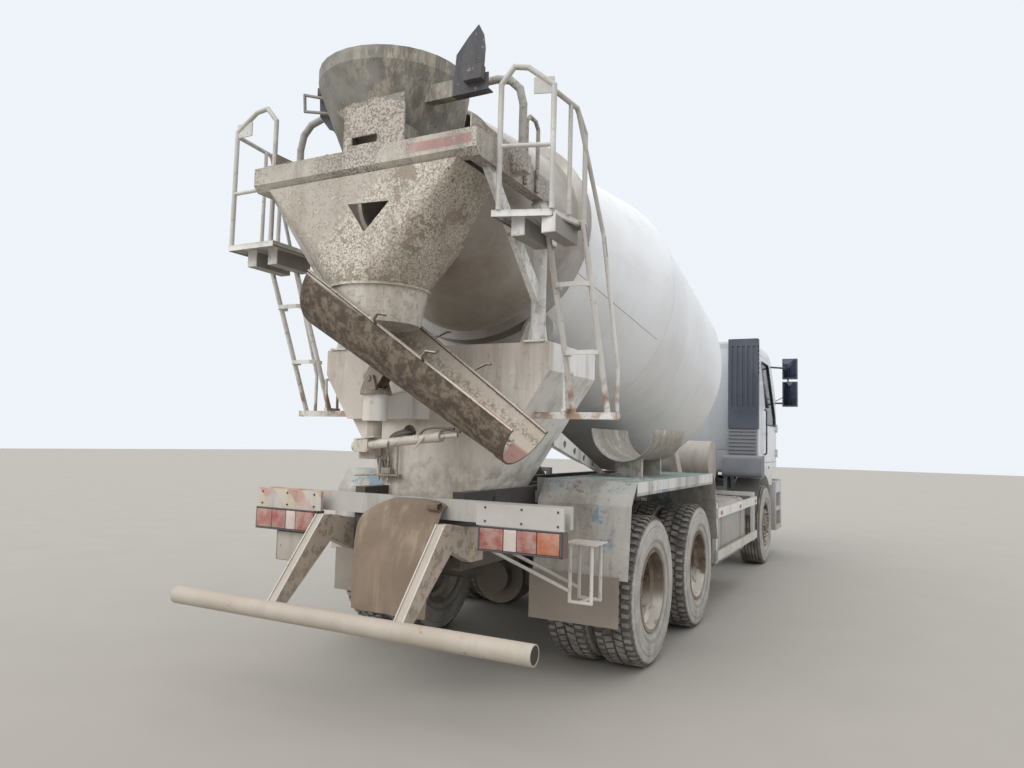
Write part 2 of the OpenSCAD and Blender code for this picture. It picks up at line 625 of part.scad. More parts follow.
beam_y = -2050;
beam_z = 3150;
beam_h = 150;
beam_d = 80;
post_x = ped_w - 110;
post_y = ped_rear + 50;
post_tube = 48;
pipe_y = -1600;
pipe_x = 875;
module hopper_frame() color(pale) {
    across(-beam_w / 2, beam_w / 2)
        polygon([[beam_y, beam_z + 40], [beam_y + 35, beam_z], [beam_y + beam_d, beam_z],
            [beam_y + beam_d, beam_z + beam_h], [beam_y, beam_z + beam_h]]);
    both_sides() {
        block([post_x - 50, beam_y + beam_d, beam_z], [post_x + 35, ped_rear + 100, beam_z + beam_h]);
        // Round post with a foot and gussets
        translate([post_x, post_y, ped_top]) cylinder(h = beam_z - ped_top, r = post_tube);
        block([post_x - 70, post_y - 70, ped_top], [post_x + 70, post_y + 70, ped_top + 12]);
        for (z = [0, 1]) mirror([0, 0, z]) translate([0, 0, z ? -beam_z : ped_top])
            lengthways(post_y - 5, post_y + 5) polygon([[post_x - 70, 0], [post_x + 70, 0], [post_x + 50, 130], [post_x - 50, 130]]);
        across(post_x - 20, post_x + 20)
            polygon([[beam_y + 150, beam_z], [beam_y + 250, beam_z], [post_y, ped_top + 330], [post_y, ped_top + 200]]);
        // Bracket of the platform
        block([post_x, post_y - 40, platform_z - 38], [post_x + 60, post_y + 40, platform_z]);
        // Clamp of the bowl's pipe
        block([post_x + 35, pipe_y - 45, beam_z + 30], [pipe_x + 40, pipe_y + 45, beam_z + beam_h - 10]);
        // Hand hoop
        tube([[post_x + 47, -1470, beam_z + 5], [post_x + 47, -1470, 3560], [post_x + 47, -1430, 3600], [post_x + 47, -1350, 3600],
            [post_x + 47, -1310, 3560], [post_x + 47, -1310, beam_z + 5]], 13);
    }
}

bowl_bottom = beam_z + beam_h + 60;
bowl_t = 6;
bowl_foot_r = 354;
bowl_foot_y = bowl_y + 95;
// Skewed cone with an upright rim, moved inwards by d
module bowl_form(d, z0, z1) hull() {
    translate([0, bowl_y, z1 - 80]) cylinder(h = 80, r = bowl_r - d, $fn = 32);
    translate([0, bowl_foot_y, z0]) cylinder(h = 1, r = bowl_foot_r - d, $fn = 32);
}
module hopper_bowl() color([0.25, 0.24, 0.23]) {
    difference() {
        union() {
            bowl_form(0, bowl_bottom, bowl_top);
            both_sides() bowl_pipe();
            // Bracket of the splash leaf
            block([300, leaf_y, 3590], [790, leaf_y + 8, 3690]);
            block([300, leaf_y, 3590], [790, leaf_y + 60, 3598]);
            block([650, leaf_y - 50, 3640], [770, leaf_y + 1, 3720]);
        }
        bowl_form(bowl_t, bowl_bottom - 1, bowl_top + 1);
        // Open towards the drum's mouth
        on_drum_axis() translate([-700, -1000, mouth_s - 35]) cube([1400, 2000, 1500]);
    }
    // Foot on the beam
    difference() {
        block([-100, beam_y, beam_z + beam_h], [340, beam_y + 12, beam_z + beam_h + 290]);
        block([-40, beam_y - 1, beam_z + beam_h + 25], [150, beam_y + 13, beam_z + beam_h + 75]);
    }
    block([-100, beam_y + 12, beam_z + beam_h], [340, beam_y + beam_d, beam_z + beam_h + 12]);
    for (x = [-80, 308]) block([x, beam_y + 12, beam_z + beam_h + 12], [x + 12, beam_y + beam_d + 90, bowl_bottom + 60]);
    // Splash leaf, folded up
    lengthways(leaf_y, leaf_y + 8)
        polygon([[560, 3688], [572, 3834], [650, 3925], [717, 3987], [752, 3920], [764, 3840], [756, 3688]]);
    // Square handle on the other side
    tube([[-440, leaf_y + 60, 3790], [-560, leaf_y + 60, 3830], [-650, leaf_y + 60, 3860], [-640, leaf_y + 60, 3745],
        [-420, leaf_y + 60, 3690]], 10);
}

leaf_y = -1880;
// Bent pipe that holds the bowl, standing on the frame's clamp
module bowl_pipe() tube([[pipe_x, pipe_y, beam_z + beam_h - 9.7], [pipe_x, pipe_y, 3600], [pipe_x - 25, pipe_y, 3700],
    [pipe_x - 90, pipe_y, 3765], [pipe_x - 180, pipe_y, 3790], [bowl_r - 60, pipe_y, 3790]], 24);

collar_r = 300;
collar_z0 = 2280;
collar_z1 = 2500;
module collector_form(d) hull() {
    block([-700 + d, beam_y + 10 + d, beam_z - 1], [700 - d, -1440 - d, beam_z]);
    translate([0, slew_y, collar_z1 - 1]) cylinder(h = 1, r = collar_r - d, $fn = 32);
}
module collector() color(pale) difference() {
    union() {
        collector_form(0);
        translate([0, slew_y, collar_z0]) cylinder(h = collar_z1 - collar_z0, r1 = 255, r2 = collar_r);
        translate([0, slew_y, collar_z1 - 14]) cylinder(h = 14, r = collar_r + 14);
    }
    // Window in the rear plate
    lengthways(beam_y - 60, beam_y + 120) polygon([[-50, 2972], [255, 2958], [88, 2786]]);
    collector_form(6);
    translate([0, slew_y, collar_z0 - 1]) cylinder(h = collar_z1 - collar_z0 + 20, r1 = 249, r2 = collar_r - 6);
    // Room for the drum's mouth
    block([-800, -1600, 2790], [800, -1000, 3400]);
}

ladder_foot = [-1030, 1770];
ladder_head = [-1500, 2880];
ladder_out = 1230;
ladder_in = 1000;
rail_tube = 18;
platform_z = 2885;
// Outer rear corner of the right and the left platform
corners = [[1150, -1762], [1222, -1852]];
function platform_rows(c) = [[post_x + 35, -1865], c + (c.x > 1200 ? [14, -16] : [0, 2]), [1225, -1420], [post_x + 35, -1420]];
module ladder(c) color(pale) {
    for (x = [ladder_in, ladder_out]) rod([x, ladder_foot.x, ladder_foot.y], [x, ladder_head.x, ladder_head.y], rail_tube);
    for (f = [0.34, 0.69]) let (y = ladder_foot.x + f * (ladder_head.x - ladder_foot.x),
        z = ladder_foot.y + f * (ladder_head.y - ladder_foot.y))
        difference() {
            flat([[ladder_in, y - 30], [ladder_in + 30, y - 60], [ladder_out - 30, y - 60], [ladder_out, y - 30],
                [ladder_out, y + 45], [ladder_in, y + 45]], z - 14, z + 14);
            flat([[ladder_in + 24, y - 50], [ladder_out - 24, y - 50], [ladder_out - 24, y + 46],
                [ladder_in + 24, y + 46]], z - 15, z + 10);
        }
    // Lowest rung, carried from the pedestal
    difference() {
        block([ped_foot, ladder_foot.x - 25, ladder_foot.y - 22], [1290, ladder_foot.x + 25, ladder_foot.y + 22]);
        block([ped_foot - 1, ladder_foot.x - 19, ladder_foot.y - 23], [1284, ladder_foot.x + 26, ladder_foot.y + 16]);
        lengthways(ped_rear, ped_front) polygon(ped_rows);
    }
    // Platform, a tray open below
    difference() {
        flat(platform_rows(c), platform_z - 38, platform_z);
        flat(inset([for (p = platform_rows(c)) [p.x, p.y, 0]], 6), platform_z - 39, platform_z - 6);
    }
    block([post_x + 60, -1430, platform_z - 38], [post_x + 100, post_y + 40, platform_z]);
    // Foot of the hand rail
    block([1236, ladder_foot.x + 20, ladder_foot.y - 10], [1264, -900, ladder_foot.y + 22]);
    // Square tubes under it
    for (x = [895, 1085]) difference() {
        block([x, -1750, platform_z - 128], [x + 85, -1430, platform_z - 5]);
        block([x + 5, -1751, platform_z - 123], [x + 80, -1429, platform_z - 43]);
    }
}

// Guard loop with a gusset, mid rail, side rail, hand rail down the ladder and hook rail at its foot
guard_in = [862, -1850];
function guard_at(c, t, z) = [guard_in.x + t * (c.x - guard_in.x), guard_in.y + t * (c.y - guard_in.y), z];
module guard(c, up) color(pale) {
    tube([[guard_in.x, guard_in.y, platform_z], guard_at(c, 0, 3610 + up), guard_at(c, 0.24, 3710 + up),
        guard_at(c, 0.51, 3700 + up), guard_at(c, 1, 3590 + up), [c.x, c.y, platform_z]], 16);
    // Small plate in the loop's corner
    let (p = guard_at(c, 0.62, 0), q = guard_at(c, 1, 0))
        flat([p + [0, -4, 0], q + [0, -4, 0], q + [0, 4, 0], p + [0, 4, 0]], 3545 + up, 3640 + up);
    rod([guard_in.x, guard_in.y, 3250], [c.x, c.y, 3250], 13);
    tube([[c.x, c.y, 3560 + up], [1205, -1560, 3530 + up], [1212, -1440, 3420 + up], [1212, -1440, platform_z]], 15);
    rod([1190, -1615, 3530 + up], [1190, -1615, platform_z], 13);
    tube([[1206, -1550, 3520 + up], [1250, -1214, 2866], [1250, -920, 2080], [1250, -920, ladder_foot.y + 22.3]], 13);
    tube([[968, -1110, ladder_foot.y + 40], [968, -1125, 2020], [968, -1000, 2050], [968, -990, ladder_foot.y + 40]], 10);
    block([953, -1125, ladder_foot.y + 22.3], [979, -975, ladder_foot.y + 42]);
}

// Extrudes an (X, Y) outline between two heights
module flat(rows, z0, z1) translate([0, 0, z0]) linear_extrude(z1 - z0) polygon([for (p = rows) [p[0], p[1]]]);

module underride_bar() color(pale) {
    both_sides() across(rail_x, rail_x + 65)
        polygon([[rear_rail_y + 150, rail_top - 20], [rear_rail_y, rail_top - 10], [-1640, rail_top + 30], [-1700, rail_top + 30], [bar_y - 20, bar_z + 20],
            [bar_y + 20, bar_z - 40], [-1620, 940], [rear_rail_y, 850], [rear_rail_y + 150, 850]]);
    translate([-bar_len / 2, bar_y, bar_z]) rotate([0, 90, 0]) cylinder(h = bar_len, r = bar_r);
}

board_y = rear_rail_y - 140;
module tail_lamps() color("firebrick") {
    block([-1165, rear_rail_y - 40, 1100], [1165, rear_rail_y, 1230]);
    both_sides() {
        block([600, board_y, 1100], [1165, board_y + 20, 1230]);
        block([700, board_y + 20, 1130], [760, rear_rail_y - 40, 1200]);
        block([1000, board_y + 20, 1130], [1060, rear_rail_y - 40, 1200]);
        block([620, board_y - 10, 950], [1170, board_y + 60, 1100]);
    }
}

module rubber_apron() color(mud) across(-250, 330)
    polygon([[rear_rail_y - 40, 1228], [rear_rail_y - 90, 1210], [rear_rail_y - 200, 1000], [rear_rail_y - 250, 760],
        [rear_rail_y - 255, 530], [rear_rail_y - 245, 530], [rear_rail_y - 240, 760], [rear_rail_y - 190, 990],
        [rear_rail_y - 85, 1195], [rear_rail_y - 40, 1212]]);

module water_tank() color(pale) {
    translate([-640, 4600, rail_top + 330]) rotate([0, 90, 0]) cylinder(h = 1280, r = 270);
    both_sides() difference() {
        block([rail_x - 80, 4600 - 180, rail_top + 0], [rail_x, 4600 + 180, rail_top + 330]);
        translate([-640, 4600, rail_top + 330]) rotate([0, 90, 0]) cylinder(h = 1280, r = 269);
        block([0, 4000, rail_top - 1], [1000, sub_front + seat, sub_top]);
    }
}

spare_x = 900;
spare_z = 1720;
spare_r = 260;
module spare_section() difference() {
    circle(r = spare_r);
    circle(r = spare_r - 6);
    translate([-spare_r - 1, 0]) square([2 * spare_r + 2, spare_r + 1]);
}
module spare_chute() color(mud) {
    // Straight length, then a bend that turns up
    translate([spare_x, 200, spare_z]) rotate([-90, 0, 0]) mirror([0, 1, 0]) linear_extrude(900) spare_section();
    for (y = [380, 900]) difference() {
        block([spare_x - 110, y - 20, deck_z + 0.3], [spare_x + 110, y + 20, spare_z - 120]);
        translate([spare_x, -10, spare_z]) rotate([-90, 0, 0]) cylinder(h = 1720, r = spare_r - 3);
    }
}

intake_y = cab_back - 130;
intake_x0 = cab_w / 2 - 391;
intake_x1 = cab_w / 2 + 5;
bellows_top = 1840;
module air_filter() color(steel) {
    difference() {
        across(intake_x0 - 54, intake_x1 + 70) polygon(rounded([[intake_y - 130, 1200, 60], [cab_back - 20, 1200, 40],
            [cab_back - 20, 1490, 10], [intake_y - 100, 1490, 50]], 3));
        for (x = [intake_x0 + 40, intake_x1 - 120]) block([x, intake_y - 131, 1280], [x + 60, intake_y - 118, 1400]);
    }
    // Bellows
    for (i = [0:6]) let (z = 1489 + 50 * i) {
        block([intake_x0 + 14, intake_y + 14, z], [intake_x1 - 34, cab_back - 34, z + 26]);
        block([intake_x0, intake_y, z + 25], [intake_x1 - 20, cab_back - 20, z + 51]);
    }
    block([rail_x, intake_y, 1000], [intake_x0 - 14, intake_y + 60, 1060]);
    block([intake_x0 - 54, intake_y, 1060], [intake_x0 - 14, intake_y + 60, 1201]);
}

// Cab

cab_front = front_y - 40;
door_hinge_y = cab_front - 290;
door_rear_y = cab_back + 520;
sill_z = 1330;
belt_z = 2050;

// Side view, front view and plan of the cab; d moves them inwards
side_rows = [[cab_back, cab_floor, 40], [cab_front - 60, cab_floor, 40], [cab_front, cab_floor + 120, 80],
    [cab_front - 10, belt_z, 60], [cab_front - 330, cab_top - 130, 160], [cab_front - 700, cab_top, 100],
    [cab_back, cab_top, 60]];
function front_rows() = [[-cab_w / 2, 1000, 0], [cab_w / 2, 1000, 0], [cab_w / 2, belt_z, 400],
    [cab_w / 2 - 90, cab_top, 110], [-cab_w / 2 + 90, cab_top, 110], [-cab_w / 2, belt_z, 400]];
function plan_rows() = [[-cab_w / 2, cab_back, 60], [cab_w / 2, cab_back, 60], [cab_w / 2, cab_front, 260],
    [-cab_w / 2, cab_front, 260]];
module cab_form(d) intersection() {
    across(-cab_w, cab_w) polygon(rounded(inset(side_rows, d), 3));
    lengthways(cab_back - 100, cab_front + 100) polygon(rounded(inset(front_rows(), d), 3));
    translate([0, 0, 900]) linear_extrude(2400) polygon(rounded(inset(plan_rows(), d), 4));
}
door_rows = [[door_rear_y, sill_z + 60, 40], [door_hinge_y, sill_z + 60, 40], [door_hinge_y, belt_z, 60],
    [door_hinge_y - 280, cab_top - 170, 60], [door_rear_y, cab_top - 170, 60]];
pane_rows = [[door_rear_y + 80, belt_z - 130, 60], [door_hinge_y - 80, belt_z - 130, 60],
    [door_hinge_y - 90, belt_z + 20, 60], [door_hinge_y - 330, cab_top - 250, 60], [door_rear_y + 80, cab_top - 250, 60]];
screen_rows = [[-cab_w / 2 + 130, belt_z + 20, 90], [cab_w / 2 - 130, belt_z + 20, 90],
    [cab_w / 2 - 200, cab_top - 180, 90], [-cab_w / 2 + 200, cab_top - 180, 90]];
door_gap = 6;
tunnel_x = 420;
tunnel_y = 6540;
tunnel_z = 1560;

hinge_out = 16;
barrel_r = 14;
door_pin_r = 8;
door_pin_y = door_hinge_y - door_gap / 2;
hinge_zs = [1520, 1900];
// Knuckle of a door hinge, h high about z, with a leaf that reaches to y
module hinge_leaf(z, h, y) {
    translate([cab_w / 2 + hinge_out, door_pin_y, z - h / 2]) cylinder(h = h, r = barrel_r);
    block([cab_w / 2 - 1, min(y, door_pin_y), z - h / 2], [cab_w / 2 + 8, max(y, door_pin_y), z + h / 2]);
}

module doorway(d) across(0, cab_w) polygon(rounded(inset(door_rows, d), 3));
module door_pane(d) across(0, cab_w) polygon(rounded(inset(pane_rows, d), 3));
module windscreen_cut(d) lengthways(cab_front - 700, cab_front + 50) polygon(rounded(inset(screen_rows, d), 3));
module rear_pane_cut(d) for (s = [-1, 1]) lengthways(cab_back - 10, cab_back + 90)
    polygon(rounded(inset([[s * 500 - 300, 2150, 60], [s * 500 + 300, 2150, 60], [s * 500 + 300, 2650, 60],
        [s * 500 - 300, 2650, 60]], d), 3));

module cab_shell() color(white) {
    difference() {
        cab_form(0);
        cab_form(cab_wall);
        both_sides() doorway(0);
        windscreen_cut(0);
        rear_pane_cut(0);
        front_panel_cut(0);
        // Tunnel over the engine
        block([-tunnel_x + 20, cab_back - 10, cab_floor - 1], [tunnel_x - 20, tunnel_y - 20, tunnel_z - 20]);
    }
    difference() {
        block([-tunnel_x, cab_back + cab_wall / 2, cab_floor + 10], [tunnel_x, tunnel_y, tunnel_z]);
        block([-tunnel_x + 20, cab_back - 10, cab_floor - 50], [tunnel_x - 20, tunnel_y - 20, tunnel_z - 20]);
    }
    both_sides() for (z = hinge_zs) {
        for (s = [-1, 1]) hinge_leaf(z + s * (45 + seat), 30, door_hinge_y + 50);
        translate([cab_w / 2 + hinge_out, door_pin_y, z - 60]) cylinder(h = 120, r = door_pin_r);
    }
    // Hinge lugs
    both_sides() difference() {
        across(hinge_x - 40, hinge_x + 20) polygon([[hinge_y - 50, hinge_z - 50], [hinge_y + 40, hinge_z - 50],
            [hinge_y + 40, cab_floor], [hinge_y - 50, cab_floor]]);
        translate([0, hinge_y, hinge_z]) rotate([0, 90, 0]) cylinder(h = 1000, r = hinge_r + run);
    }
}

panel_rows = [[-cab_w / 2 + 60, cab_floor + 140, 30], [cab_w / 2 - 60, cab_floor + 140, 30],
    [cab_w / 2 - 60, belt_z - 90, 30], [-cab_w / 2 + 60, belt_z - 90, 30]];
module front_panel_cut(d) lengthways(cab_front - 300, cab_front + 50) polygon(rounded(inset(panel_rows, d), 3));
module cab_front_panel() color(dark) difference() {
    intersection() {
        difference() {
            cab_form(0);
            cab_form(cab_wall);
        }
        front_panel_cut(seat);
    }
    for (z = [cab_floor + 230:110:belt_z - 220])
        block([-700, cab_front - 30, z], [700, cab_front + 10, z + 50]);
}

glass_t = 6;
module glass_skin() difference() {
    cab_form(12);
    cab_form(12 + glass_t);
}
module cab_glass() color([0.2, 0.28, 0.3, 0.5]) {
    intersection() {
        glass_skin();
        union() {
            windscreen_cut(seat);
            rear_pane_cut(seat);
        }
    }
}

arch_r = tyre_d / 2 + 142;
arch_x = 830;
arch_t = 14;
arch_split = front_axle_y - 260;
// Arch over a front wheel, between two heights
module arch(z0, z1) intersection() {
    difference() {
        translate([arch_x, front_axle_y, axle_z]) rotate([0, 90, 0])
            cylinder(h = cab_w / 2 - arch_x, r = arch_r + arch_t, $fn = 2 * fine);
        translate([arch_x - 1, front_axle_y, axle_z]) rotate([0, 90, 0])
            cylinder(h = cab_w / 2 - arch_x + 2, r = arch_r, $fn = 2 * fine);
    }
    block([arch_x - 2, front_axle_y - 900, z0], [cab_w / 2 + 2, front_axle_y + 900, z1]);
}

// The arch's front part tilts with the cab
module cab_fenders() color(pale) both_sides() {
    difference() {
        arch(axle_z + 420, cab_floor);
        block([0, front_axle_y - 900, 0], [cab_w, arch_split, 2000]);
    }
    difference() {
        block([cab_w / 2 - arch_t, front_axle_y - 200, axle_z + arch_r - 160], [cab_w / 2, front_axle_y + 690, cab_floor]);
        translate([arch_x - 1, front_axle_y, axle_z]) rotate([0, 90, 0])
            cylinder(h = cab_w / 2 - arch_x + 2, r = arch_r + 1, $fn = 2 * fine);
    }
}

// Its rear part stays on the frame
module front_mudguards() color(dark) both_sides() {
    difference() {
        arch(700, cab_floor - 70);
        block([0, arch_split - 20, 0], [cab_w, front_axle_y + 900, 2000]);
    }
    block([rail_x, front_axle_y - arch_r - 60, 800],
        [arch_x + 120, front_axle_y - sqrt(pow(arch_r, 2) - pow(axle_z - 800, 2)) - 2, 850]);
}

module air_intake() color(dark) difference() {
    translate([0, 0, bellows_top + 10]) linear_extrude(3080 - bellows_top - 10)
        polygon(rounded([[intake_x0, intake_y, 25], [intake_x1, intake_y, 25], [intake_x1, cab_back, 0], [intake_x0, cab_back, 0]], 3));
    // Slots between the ribs of the rear face, and on the outer side
    for (i = [0:4]) let (x = intake_x0 + 50 + 70 * i) block([x, intake_y - 1, 2150], [x + 38, intake_y + 12, 2980]);
    for (z = [2600:60:2960]) block([intake_x1 - 12, intake_y + 30, z], [intake_x1 + 1, cab_back - 20, z + 34]);
}

module cab_mirrors() color(dark) both_sides() difference() {
    union() {
        block([1220, cab_front - 130, 2250], [1440, cab_front - 60, 2640]);
        block([1220, cab_front - 130, 2680], [1440, cab_front - 60, 3000]);
        block([1290, cab_front - 110, 2600], [1310, cab_front - 80, 2700]);
        rod([cab_w / 2 - 70, cab_front - 200, 2300], [1290, cab_front - 95, 2300], 14);
        rod([cab_w / 2 - 130, cab_front - 400, 2850], [1290, cab_front - 95, 2850], 14);
    }
    cab_form(0);
}

module cab_seats() color(dark) {
    z0 = cab_floor + cab_wall;
    for (s = [-1, 1]) {
        block([s * 700 - 150, cab_back + 380, z0 + seat], [s * 700 + 150, cab_back + 740, z0 + 330]);
        across(s * 700 - 240, s * 700 + 240) polygon(rounded([[cab_back + 300, z0 + 330, 20], [cab_back + 830, z0 + 330, 40],
            [cab_back + 830, z0 + 460, 50], [cab_back + 400, z0 + 450, 30], [cab_back + 290, z0 + 1130, 40],
            [cab_back + 170, z0 + 1130, 50]], 4));
    }
}

wheel_x = -700;
module cab_interior() color(dark) {
    z0 = cab_floor + cab_wall;
    intersection() {
        across(-cab_w, cab_w) polygon(rounded([[cab_front - 460, z0 + 460, 40], [cab_front, z0 + 460, 0], [cab_front, z0 + 700, 0],
            [cab_front - 560, z0 + 700, 60]], 4));
        cab_form(cab_wall + seat);
    }
    // Steering wheel and column
    translate([wheel_x, cab_front - 610, z0 + 760]) rotate([25, 0, 0]) {
        rotate_extrude($fn = 48) translate([215, 0]) circle(r = 15, $fn = 16);
        for (a = [90, 210, 330]) rotate([0, 0, a]) translate([-16, 0, -6]) cube([32, 215, 10]);
        cylinder(h = 40, r = 60, center = true);
        translate([0, 0, -300]) cylinder(h = 300, r = 35);
    }
}

module door_form() intersection() {
    difference() {
        cab_form(0);
        cab_form(cab_wall);
    }
    difference() {
        doorway(door_gap);
        door_pane(0);
    }
}
module door() color(white) {
    difference() {
        union() {
            door_form();
            for (z = hinge_zs) hinge_leaf(z, 60, door_hinge_y - 60);
        }
        for (z = hinge_zs) {
            translate([cab_w / 2 + hinge_out, door_pin_y, z - 60]) cylinder(h = 120, r = door_pin_r + run);
            // Room for the pillar's knuckles and, inside, for the swing
            for (s = [-1, 1]) block([cab_w / 2 - 1, door_pin_y - 16, z + s * 45 - 16], [cab_w / 2 + 40, door_pin_y + 20, z + s * 45 + 16]);
        }
    }
    block([cab_w / 2 - 2, door_rear_y + 60, 1780], [cab_w / 2 + 30, door_rear_y + 220, 1810]);
}
module door_glass() color([0.2, 0.28, 0.3, 0.5]) intersection() {
    glass_skin();
    door_pane(seat);
}

// Chute

chute_z = 2390;
pivot_z = 1955;
chute_r0 = 345;
chute_r1 = 215;
chute_u0 = -330;
module on_chute() translate([0, slew_y, pivot_z]) rotate([0, chute_slope, 0]) children();
axis_h = (chute_z - pivot_z) * cos(chute_slope);
axis_u = -(chute_z - pivot_z) * sin(chute_slope);
swivel_top = post_z0 + post_h + seat;
jack_foot = [-190, 1540];

module chute_swivel() color(steel) {
    translate([0, slew_y, jack_foot.y - 60]) cylinder(h = post_z0 - jack_foot.y + 60 + post_h + 30, r = post_r);
    translate([0, slew_y, swivel_top]) cylinder(h = 25, r = 95);
    for (s = [-1, 1]) translate([0, slew_y + s * 65, 0]) rotate([90, 0, 0]) linear_extrude(20, center = true)
        polygon([[-60, swivel_top + 20], [60, swivel_top + 20], [28, pivot_z + 20], [-28, pivot_z + 20]]);
    translate([0, slew_y, pivot_z]) rotate([90, 0, 0]) cylinder(h = 170, r = 16, center = true);
    // Ears at the post's foot, for the lifting ram
    for (s = [-1, 1]) block([-60, slew_y + s * 55 - 8, jack_foot.y - 70], [60, slew_y + s * 55 + 8, jack_foot.y + 50]);
    block([-60, slew_y - 60, jack_foot.y + 38], [60, slew_y + 60, jack_foot.y + 50]);
}

module chute_trough() color(mud) on_chute() {
    translate([axis_u, 0, axis_h]) difference() {
        translate([chute_u0, 0, 0]) rotate([0, 90, 0]) cylinder(h = chute_len, r1 = chute_r0, r2 = chute_r1);
        translate([chute_u0 - 1, 0, 0]) rotate([0, 90, 0]) cylinder(h = chute_len + 2, r1 = chute_r0 - chute_t, r2 = chute_r1 - chute_t);
        block([-1000, -500, 0], [2000, 500, 500]);
    }
    // Rolled edges, hooks and the lower lip
    translate([axis_u, 0, axis_h]) {
        both_sides_y() {
            rod([chute_u0, chute_r0 - 4, 0], [chute_u0 + chute_len, chute_r1 - 4, 0], 11);
            for (u = [260, 640]) let (r = chute_r0 + (u - chute_u0) / chute_len * (chute_r1 - chute_r0))
                tube([[u, r, 0], [u, r + 40, 25], [u + 20, r + 62, 70], [u + 60, r + 40, 90]], 8);
        }
        difference() {
            translate([chute_u0 + chute_len - 60, 0, 0]) rotate([0, 90, 0]) cylinder(h = 60, r1 = chute_r1 + 11, r2 = chute_r1 + 6);
            translate([chute_u0 + chute_len - 61, 0, 0]) rotate([0, 90, 0]) cylinder(h = 62, r = chute_r1 + 1.5);
            block([-1000, -500, 0], [2000, 500, 500]);
        }
    }
    // Lug at the pivot
    difference() {
        block([-60, -50, -25], [60, 50, 70]);
        rotate([90, 0, 0]) cylinder(h = 200, r = 16 + run, center = true);
    }
}

module placed_wheel(side, y) translate([0, y, axle_z]) mirror([side < 0 ? 1 : 0, 0, 0]) children();

centred() frame_rails();
centred() subframe();
centred() front_bumper();
centred() engine();
centred() driveline();
centred() front_axle();
centred() rear_axles();
centred() fuel_tank();
centred() battery_box();
centred() head_lamps();
centred() rear_step();
centred() side_guards();
centred() mudguards();
centred() front_mudguards();
centred() mudflaps();
centred() rear_pedestal();
centred() drum_drive();
centred() hopper_frame();
centred() hopper_bowl();
centred() collector();
centred() {  // ladders
    ladder(corners[0]);
    mirror([1, 0, 0]) ladder(corners[1]);
}
centred() {  // guard_rails
    guard(corners[0], 0);
    mirror([1, 0, 0]) guard(corners[1], 100);
}
centred() underride_bar();
centred() tail_lamps();
centred() rubber_apron();
centred() water_tank();
centred() spare_chute();
centred() air_filter();
centred() drum_shell();
centred() drum_ring();
centred() drum_roller(1);  // drum_roller_right
centred() drum_roller(-1);  // drum_roller_left
centred() cab_shell();
centred() cab_front_panel();
centred() cab_glass();
centred() cab_fenders();
centred() air_intake();
centred() cab_mirrors();
centred() cab_interior();
centred() cab_seats();
centred() door();  // door_right
centred() mirror([1, 0, 0]) door();  // door_left
centred() door_glass();  // door_glass_right
centred() mirror([1, 0, 0]) door_glass();  // door_glass_left
centred() knuckle();  // knuckle_right
centred() mirror([1, 0, 0]) knuckle();  // knuckle_left
centred() placed_wheel(1, front_axle_y) tyre(front_track / 2);  // front_tyre_right
centred() placed_wheel(1, front_axle_y) front_rim();  // front_rim_right
centred() placed_wheel(-1, front_axle_y) tyre(front_track / 2);  // front_tyre_left
centred() placed_wheel(-1, front_axle_y) front_rim();  // front_rim_left
centred() placed_wheel(1, mid_axle_y) twin_tyres();  // middle_tyres_right
centred() placed_wheel(1, mid_axle_y) twin_rims();  // middle_rims_right
centred() placed_wheel(-1, mid_axle_y) twin_tyres();  // middle_tyres_left
centred() placed_wheel(-1, mid_axle_y) twin_rims();  // middle_rims_left
centred() placed_wheel(1, 0) twin_tyres();  // rear_tyres_right
centred() placed_wheel(1, 0) twin_rims();  // rear_rims_right
centred() placed_wheel(-1, 0) twin_tyres();  // rear_tyres_left
centred() placed_wheel(-1, 0) twin_rims();  // rear_rims_left
centred() chute_swivel();
centred() chute_trough();
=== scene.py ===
import math
import random

import bpy
import bmesh
from mathutils import Matrix, Vector


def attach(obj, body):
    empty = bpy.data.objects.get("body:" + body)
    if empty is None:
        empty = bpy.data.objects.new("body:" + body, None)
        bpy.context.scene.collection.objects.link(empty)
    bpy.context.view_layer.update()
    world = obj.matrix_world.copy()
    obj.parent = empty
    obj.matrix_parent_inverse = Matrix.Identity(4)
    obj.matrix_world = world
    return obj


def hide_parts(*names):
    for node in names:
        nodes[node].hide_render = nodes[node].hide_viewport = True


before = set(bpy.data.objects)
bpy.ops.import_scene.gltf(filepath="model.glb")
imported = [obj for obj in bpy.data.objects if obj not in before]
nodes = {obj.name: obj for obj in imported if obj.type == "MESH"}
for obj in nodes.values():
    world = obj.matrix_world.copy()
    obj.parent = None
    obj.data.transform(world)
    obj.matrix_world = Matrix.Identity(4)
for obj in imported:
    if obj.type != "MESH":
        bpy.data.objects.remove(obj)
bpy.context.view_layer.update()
print("frame loaded:", len(nodes), "nodes")

# The truck's main places in metres; lengthways they are measured from the rearmost axle
truck = {
    "rearAxleY": -2.425,  # the rearmost axle itself, from the middle of the truck
    "axleHeight": 0.538,
    "twinOut": 1.084,
    "twinIn": 0.734,
    "frontWheel": 1.020,
    "ringY": -0.460,
    "ringZ": 3.160,
    "drumSlope": math.radians(13),
}
# Each axle's name, how far it stands before the rearmost one, and the word in its wheels' bodies
axles = (("front", 5.580, "wheel"), ("middle", 1.380, "wheels"), ("rear", 0.0, "wheels"))
hands = (("right", 1), ("left", -1))


def spot(x, y, z):
    return Vector((x, y + truck["rearAxleY"], z))


# Camera of the photograph
camera = {
    "place": spot(2.837, -5.421, 1.597),
    "yaw": math.radians(27.504),
    "pitch": math.radians(4.407),
    "roll": math.radians(1.498),
    "focalPixels": 745.19,
    "imageWidth": 1024,
}


